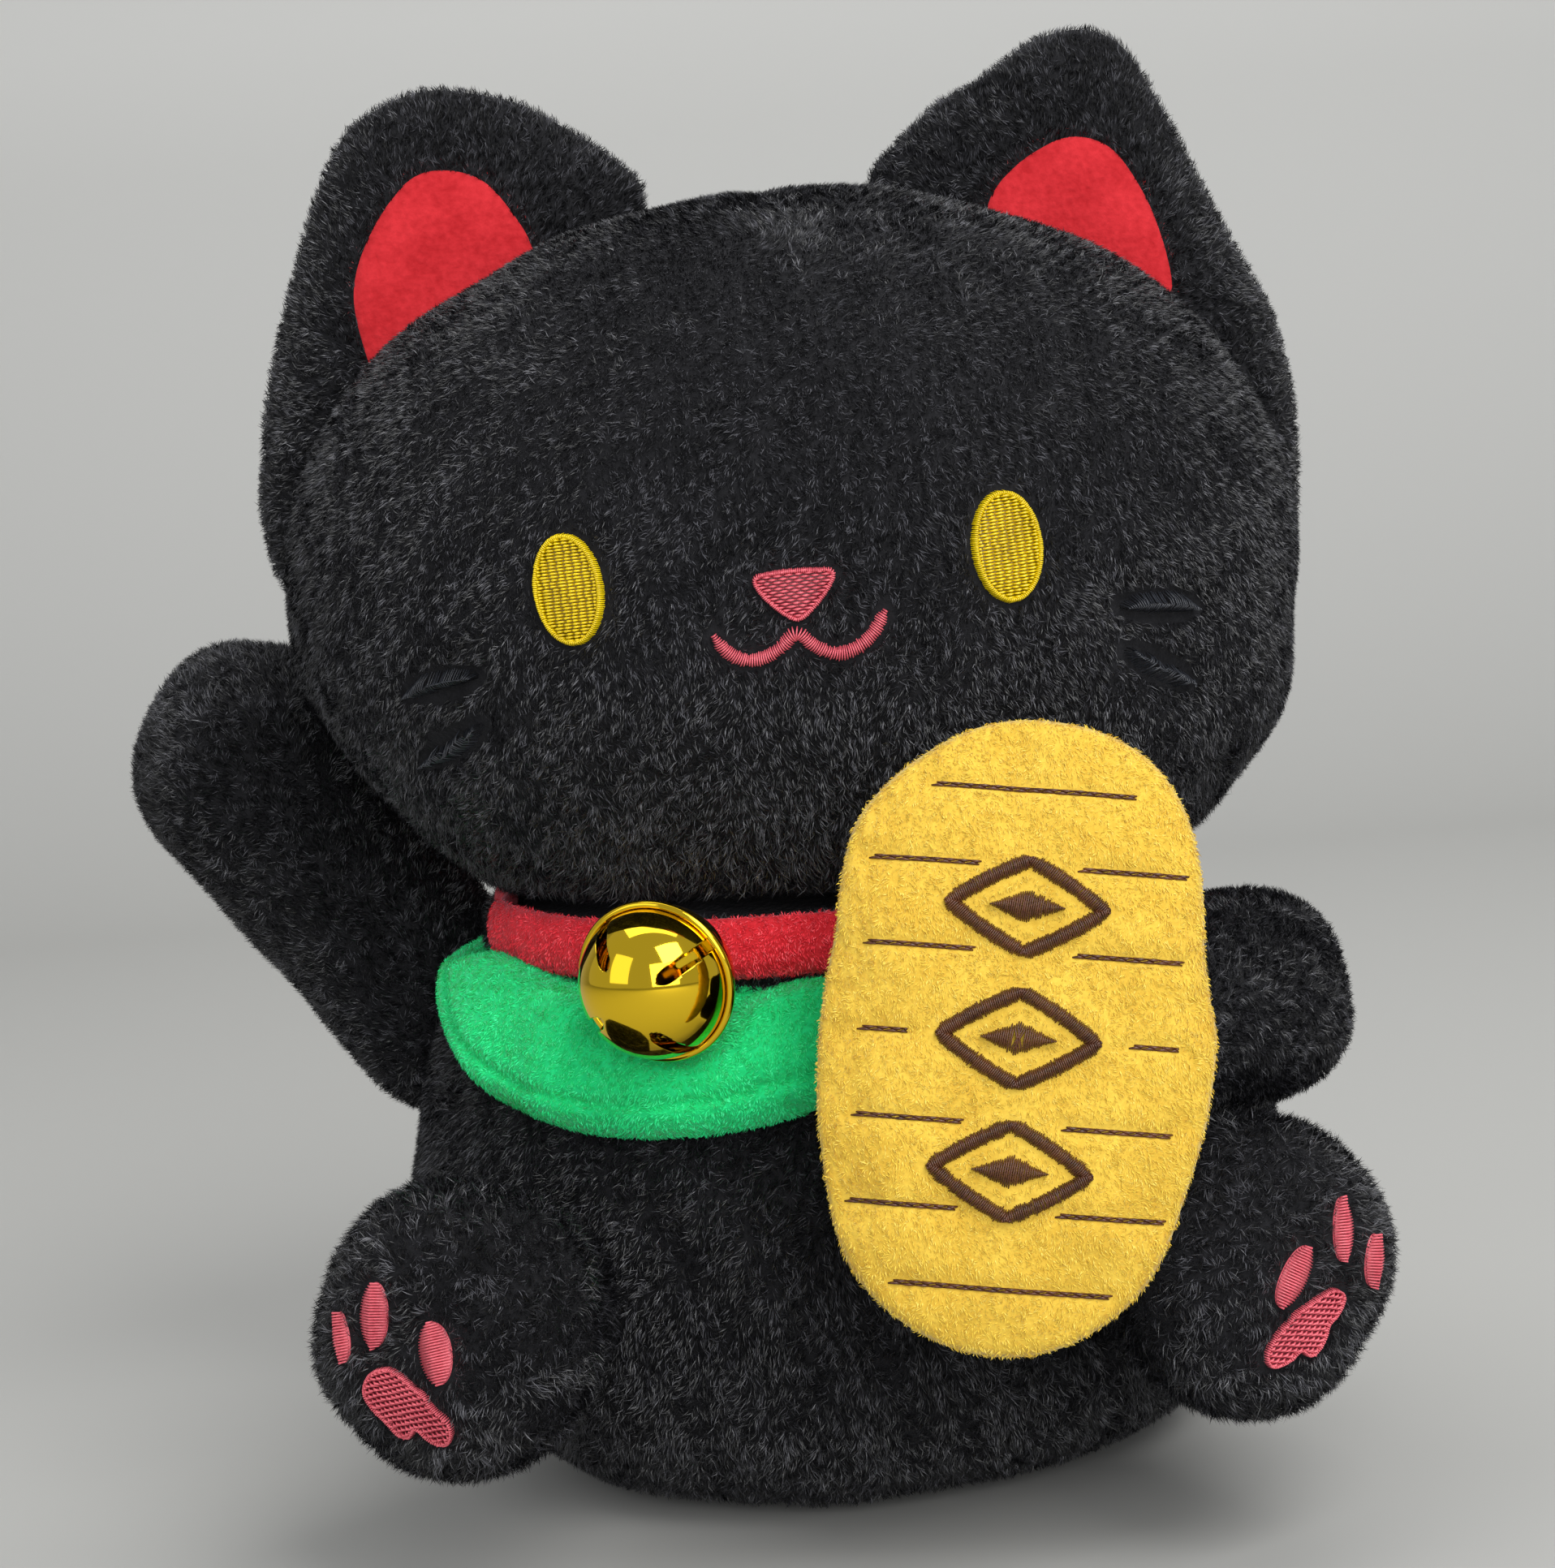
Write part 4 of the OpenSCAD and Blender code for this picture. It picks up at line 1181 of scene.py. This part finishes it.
def make_coin():
    rim = coin_outline * 0.985
    flat, edge, swell, lump = cushion(rim, np.zeros(2), 44, 15.0, 0.45, 22, 5)
    ang = np.arctan2(rim[:, 1], rim[:, 0])
    pucker = (
        (0.5 * np.sin(31 * ang + 2 * np.sin(3 * ang)) + 0.4 * np.sin(17 * ang + 1))[None]
        * np.exp(-(((edge - 3.0) / 2.6) ** 2))
    )
    groove = np.zeros_like(swell)
    for a, b, z in LINES:
        past = np.maximum(np.maximum(a - flat[..., 0], flat[..., 0] - b), 0)
        groove = np.maximum(groove, 1.25 * np.exp(-((np.hypot(past, flat[..., 1] - z) / 1.9) ** 2)))
    front = -(5.9 * swell + (pucker + lump - groove) * swell)
    back = 5.9 * swell + (pucker - lump) * swell
    co, tris, quads = pillow((0, 0), flat, front, back, -5.9, 5.9)
    ob = mesh_object("coin_pillow", COIN + co @ COIN_R.T, tris=tris, quads=quads, mats=COIN_SKIN)
    clean(ob)
    stuff(ob, 2.5, 0.4, 3.0, axes=COIN_R, slack=0.62, share=(0.25, 1.0, 0.25))
    dress(ob, "coin_arm", ("coin_front", "coin_back", "coin_filling"))
    return ob


coin = make_coin()
coin_cloth = Cloth(coin, COIN, COIN_R[:, 0], COIN_R[:, 2], reach=60)


def lozenge(z, a, b):
    return np.array([(a, z), (0, z + b), (-a, z), (0, z - b)], float)


def keep_coin(p, n):
    q = (p - COIN) @ COIN_R
    u, w, isfront = q[:, 0], q[:, 2], q[:, 1] < 0
    ok = np.ones(len(p), bool)
    for a, b, z in LINES:
        ok &= ~(isfront & (u > a - 0.2) & (u < b + 0.2) & (np.abs(w - z) < 0.62))
    for z in LOZENGES:
        ring = (inside(lozenge(z, 16.2, 9.7), u, w)) & ~inside(lozenge(z, 10.6, 6.0), u, w)
        ok &= ~(isfront & (ring | inside(lozenge(z, 6.6, 3.9), u, w)))
    return ok


t = Threads(coin_cloth)
for a, b, z in LINES:
    for off in (-0.3, 0.32):
        x0 = a + (0.9 if off > 0 else 0)
        while x0 < b - 0.6:
            x1 = min(x0 + 2.4, b)
            t.stitch([(x0, z + off), ((x0 + x1) / 2, z + off * 0.6), (x1, z + off)], [-0.05, 0.3, -0.05],
                0.29)
            x0 = x1
t.build("coin_line_stitches", BROWN_THREAD, "coin_arm", "brown_thread", "coin_lines")
t = Threads(coin_cloth)
for z in LOZENGES:
    mid = lozenge(z, 13.6, 8.0)
    corners = np.vstack([mid, mid[:1]])
    wide = 3.4 * np.sqrt(np.clip(from_ends(40) / 0.1, 0.1, 1))
    for a, b in zip(corners, corners[1:]):
        c = unit(b - a) * 0.7
        bow = (np.sin(np.linspace(0, pi, 40)) * 0.35)[:, None] * np.sign((a + b) / 2 - [0, z])
        t.satin(np.linspace(a - c, b + c, 40) + bow, wide, high=1.35, seed=int(40 + z))
    k = np.linspace(-1, 1, 40)
    t.satin(np.stack([6.4 * k, np.full(40, z)], 1), 0.5 + 6.6 * (1 - np.abs(k)), high=1.5, seed=int(60 + z))
t.build("coin_motif_stitches", BROWN_THREAD, "coin_arm", "brown_thread", "coin_motif")
pile(
    "nap_coin", "coin_arm", coin, 6.0, 1.1, comb_to([0.3, 0, -1.0]), COIN_FUR,
    seed=121, clump=0.7, keep=keep_coin, **NAP, slot="yellow_velour",
)

# ---- bell
bell_x = unit(np.cross([0, 0, 1.0], BELL_D))
bell_z = np.cross(BELL_D, bell_x)


def bell_place(q):
    """From the bell's own axes (x, z across, y out of its face) to the frame."""
    q = np.asarray(q, float)
    return BELL + q[:, :1] * -bell_x + q[:, 1:2] * BELL_D + q[:, 2:] * bell_z


def revolve(name, profile, mat, steps=160):
    """A closed profile of (radius, out) rows turned about the bell's axis."""
    n = len(profile)
    angles = [2 * pi * i / steps for i in range(steps)]
    co = [(r * cos(a), o, r * sin(a)) for a in angles for r, o in profile]
    quads = []
    for i in range(steps):
        a, b = i * n, (i + 1) % steps * n
        quads += [(a + j, b + j, b + (j + 1) % n, a + (j + 1) % n) for j in range(n)]
    ob = mesh_object(name, bell_place(co), quads=quads, mats=mat)
    clean(ob, weld=0.003)
    return ob


def dome(sign, r=14.0, inner=13.3, start=1.0, squash=0.93):
    """One half of the bell: its outer and its inner wall, as (radius, out)."""
    t = np.linspace(0, pi / 2, 40)

    def wall(r, t):
        return [(max(r * cos(a), 1e-4), sign * (start + (r * squash) * sin(a))) for a in t]

    return wall(r, t) + wall(inner, t[::-1])


def cut_slot(ob, deg):
    """Cuts a keyhole slot, a round hole with a narrower slit, through the bell's front wall."""
    a, n = radians(deg), 24
    u, v = np.array([cos(a), 0, sin(a)]), np.array([0, 1.0, 0])
    w = np.cross(u, v)
    loop = []
    for k in range(n):
        th = 2 * pi * k / n
        wide, end = (1.45, 10.9) if sin(th) > 0 else (0.95, -2.0)
        loop.append((wide * cos(th), end + wide * sin(th)))
    bm = bmesh.new()
    co = bell_place([u * reach + w * x + v * y for reach in (3.5, 20) for x, y in loop])
    vs = [bm.verts.new(c * MM) for c in co]
    bm.faces.new(vs[:n])
    bm.faces.new(vs[n:][::-1])
    for i in range(n):
        j = (i + 1) % n
        bm.faces.new((vs[i], vs[n + i], vs[n + j], vs[j]))
    bmesh.ops.recalc_face_normals(bm, faces=bm.faces)
    me = bpy.data.meshes.new("cutter")
    bm.to_mesh(me)
    bm.free()
    cutter = link("cutter", me)
    mod = ob.modifiers.new("cut", "BOOLEAN")
    mod.operation, mod.object, mod.solver = "DIFFERENCE", cutter, "EXACT"
    bake(ob)
    bpy.data.objects.remove(cutter)


bell_front = revolve("bell_front_dome", dome(1), GOLD)
for deg in (60, 150, 240, 330):
    cut_slot(bell_front, deg)
bell_back = revolve("bell_back_dome", dome(-1), GOLD)
rim_prof = [(13.9, 0.9), (14.4, 1.15), (15.0, 1.0), (15.35, 0.5), (15.35, 0.1), (15.0, -0.25), (15.15, -0.6),
    (15.0, -1.0), (14.4, -1.15), (13.9, -0.9)]
bell_rim = revolve("bell_rim_band", rim_prof, GOLD)
for ob in (bell_front, bell_back, bell_rim):
    dress(ob, "bell", ("_".join(ob.name.split("_")[:2]),))

for node, mat in (
    ("bell_loop", GOLD), ("bell_pellet", STEEL), ("weight_bag", BAG), ("bell_thread", COLLAR_SKIN),
):
    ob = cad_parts[node]
    ob.data.materials.clear()
    ob.data.materials.append(mat)


# ---- stage, light, camera
# a floor that rises in a curve to a wall far behind the object
curve = np.linspace(0, pi / 2, 25)
prof = [(870 + 380 * sin(a), -0.6 + 380 * (1 - cos(a))) for a in curve]
prof = [(-3000.0, -0.6), *prof, (1250, 2400.0)]
co = [(x, y, z) for y, z in prof for x in (-3000, 3000)]
quads = [(i, i + 1, i + 3, i + 2) for i in range(0, 2 * len(prof) - 2, 2)]


def floor_build(nt, b):
    # Painted light: the colour grows lighter with height, from the floor up the wall, standing in for the
    # light on the backdrop.
    split = add_node(nt, "SeparateXYZ", {0: add_node(nt, "TexCoord").outputs["Object"]})
    rise = add_node(nt, "MapRange", {"Value": split.outputs["Z"]}, From_Min=-0.01, From_Max=0.45)
    tone = ramp_node(nt, rise.outputs["Result"], (0.405, 0.403, 0.385), (0.585, 0.583, 0.563))
    nt.links.new(tone, b.inputs["Base Color"])
    constants(b, Roughness=0.9, Specular_IOR_Level=0.1)


mesh_object("studio_floor", co, quads=quads, mats=node_mat("studio_grey", floor_build))

world = bpy.data.worlds.new("studio")
bpy.context.scene.world = world
world.use_nodes = True
constants(world.node_tree.nodes["Background"], Color=(0.93, 0.95, 1.0, 1), Strength=0.42)


def area(name, place, target, size, power, colour=(1, 1, 1)):
    light = bpy.data.lights.new(name, "AREA")
    light.shape, light.size, light.size_y = "RECTANGLE", *size
    light.energy, light.color = power, colour
    ob = link(name, light)
    ob.location, ob.rotation_mode = place, "QUATERNION"
    ob.rotation_quaternion = (Vector(target) - Vector(place)).to_track_quat("-Z", "Y")


area("key", (0.62, -1.0, 1.3), (0, 0, 0.16), (1.0, 0.8), 18)
area("front", (0.3, -1.35, 0.5), (0, 0, 0.17), (1.0, 0.8), 9)
area("fill", (-1.2, -0.9, 0.7), (0, 0, 0.14), (0.8, 1.0), 2.5, (0.95, 0.97, 1.0))
area("top", (0.0, 0.35, 1.5), (0, 0.05, 0.1), (1.6, 1.2), 12)

D, S0 = 700.0, 0.1664
el, az, roll = radians(6), radians(1), radians(5)
back = np.array([sin(az) * cos(el), -cos(az) * cos(el), sin(el)])
fwd = -back
right = unit(np.cross(fwd, [0, 0, 1.0]))
up = np.cross(right, fwd)
img_r = cos(roll) * right - sin(roll) * up
img_u = sin(roll) * right + cos(roll) * up
cam = bpy.data.cameras.new("camera")
cam.sensor_fit, cam.sensor_width = "AUTO", 36.0
cam.lens = D / S0 / 1932 * 36.0
cam.clip_start, cam.clip_end = 0.05, 20
cam_ob = link("camera", cam)
pos = np.array([-6.7, 0, 137.5]) + D * back
rows = [(img_r[i], img_u[i], back[i], pos[i] * MM) for i in range(3)]
cam_ob.matrix_world = Matrix([*rows, (0, 0, 0, 1)])
bpy.context.scene.camera = cam_ob
bpy.context.scene.view_settings.view_transform = "Standard"
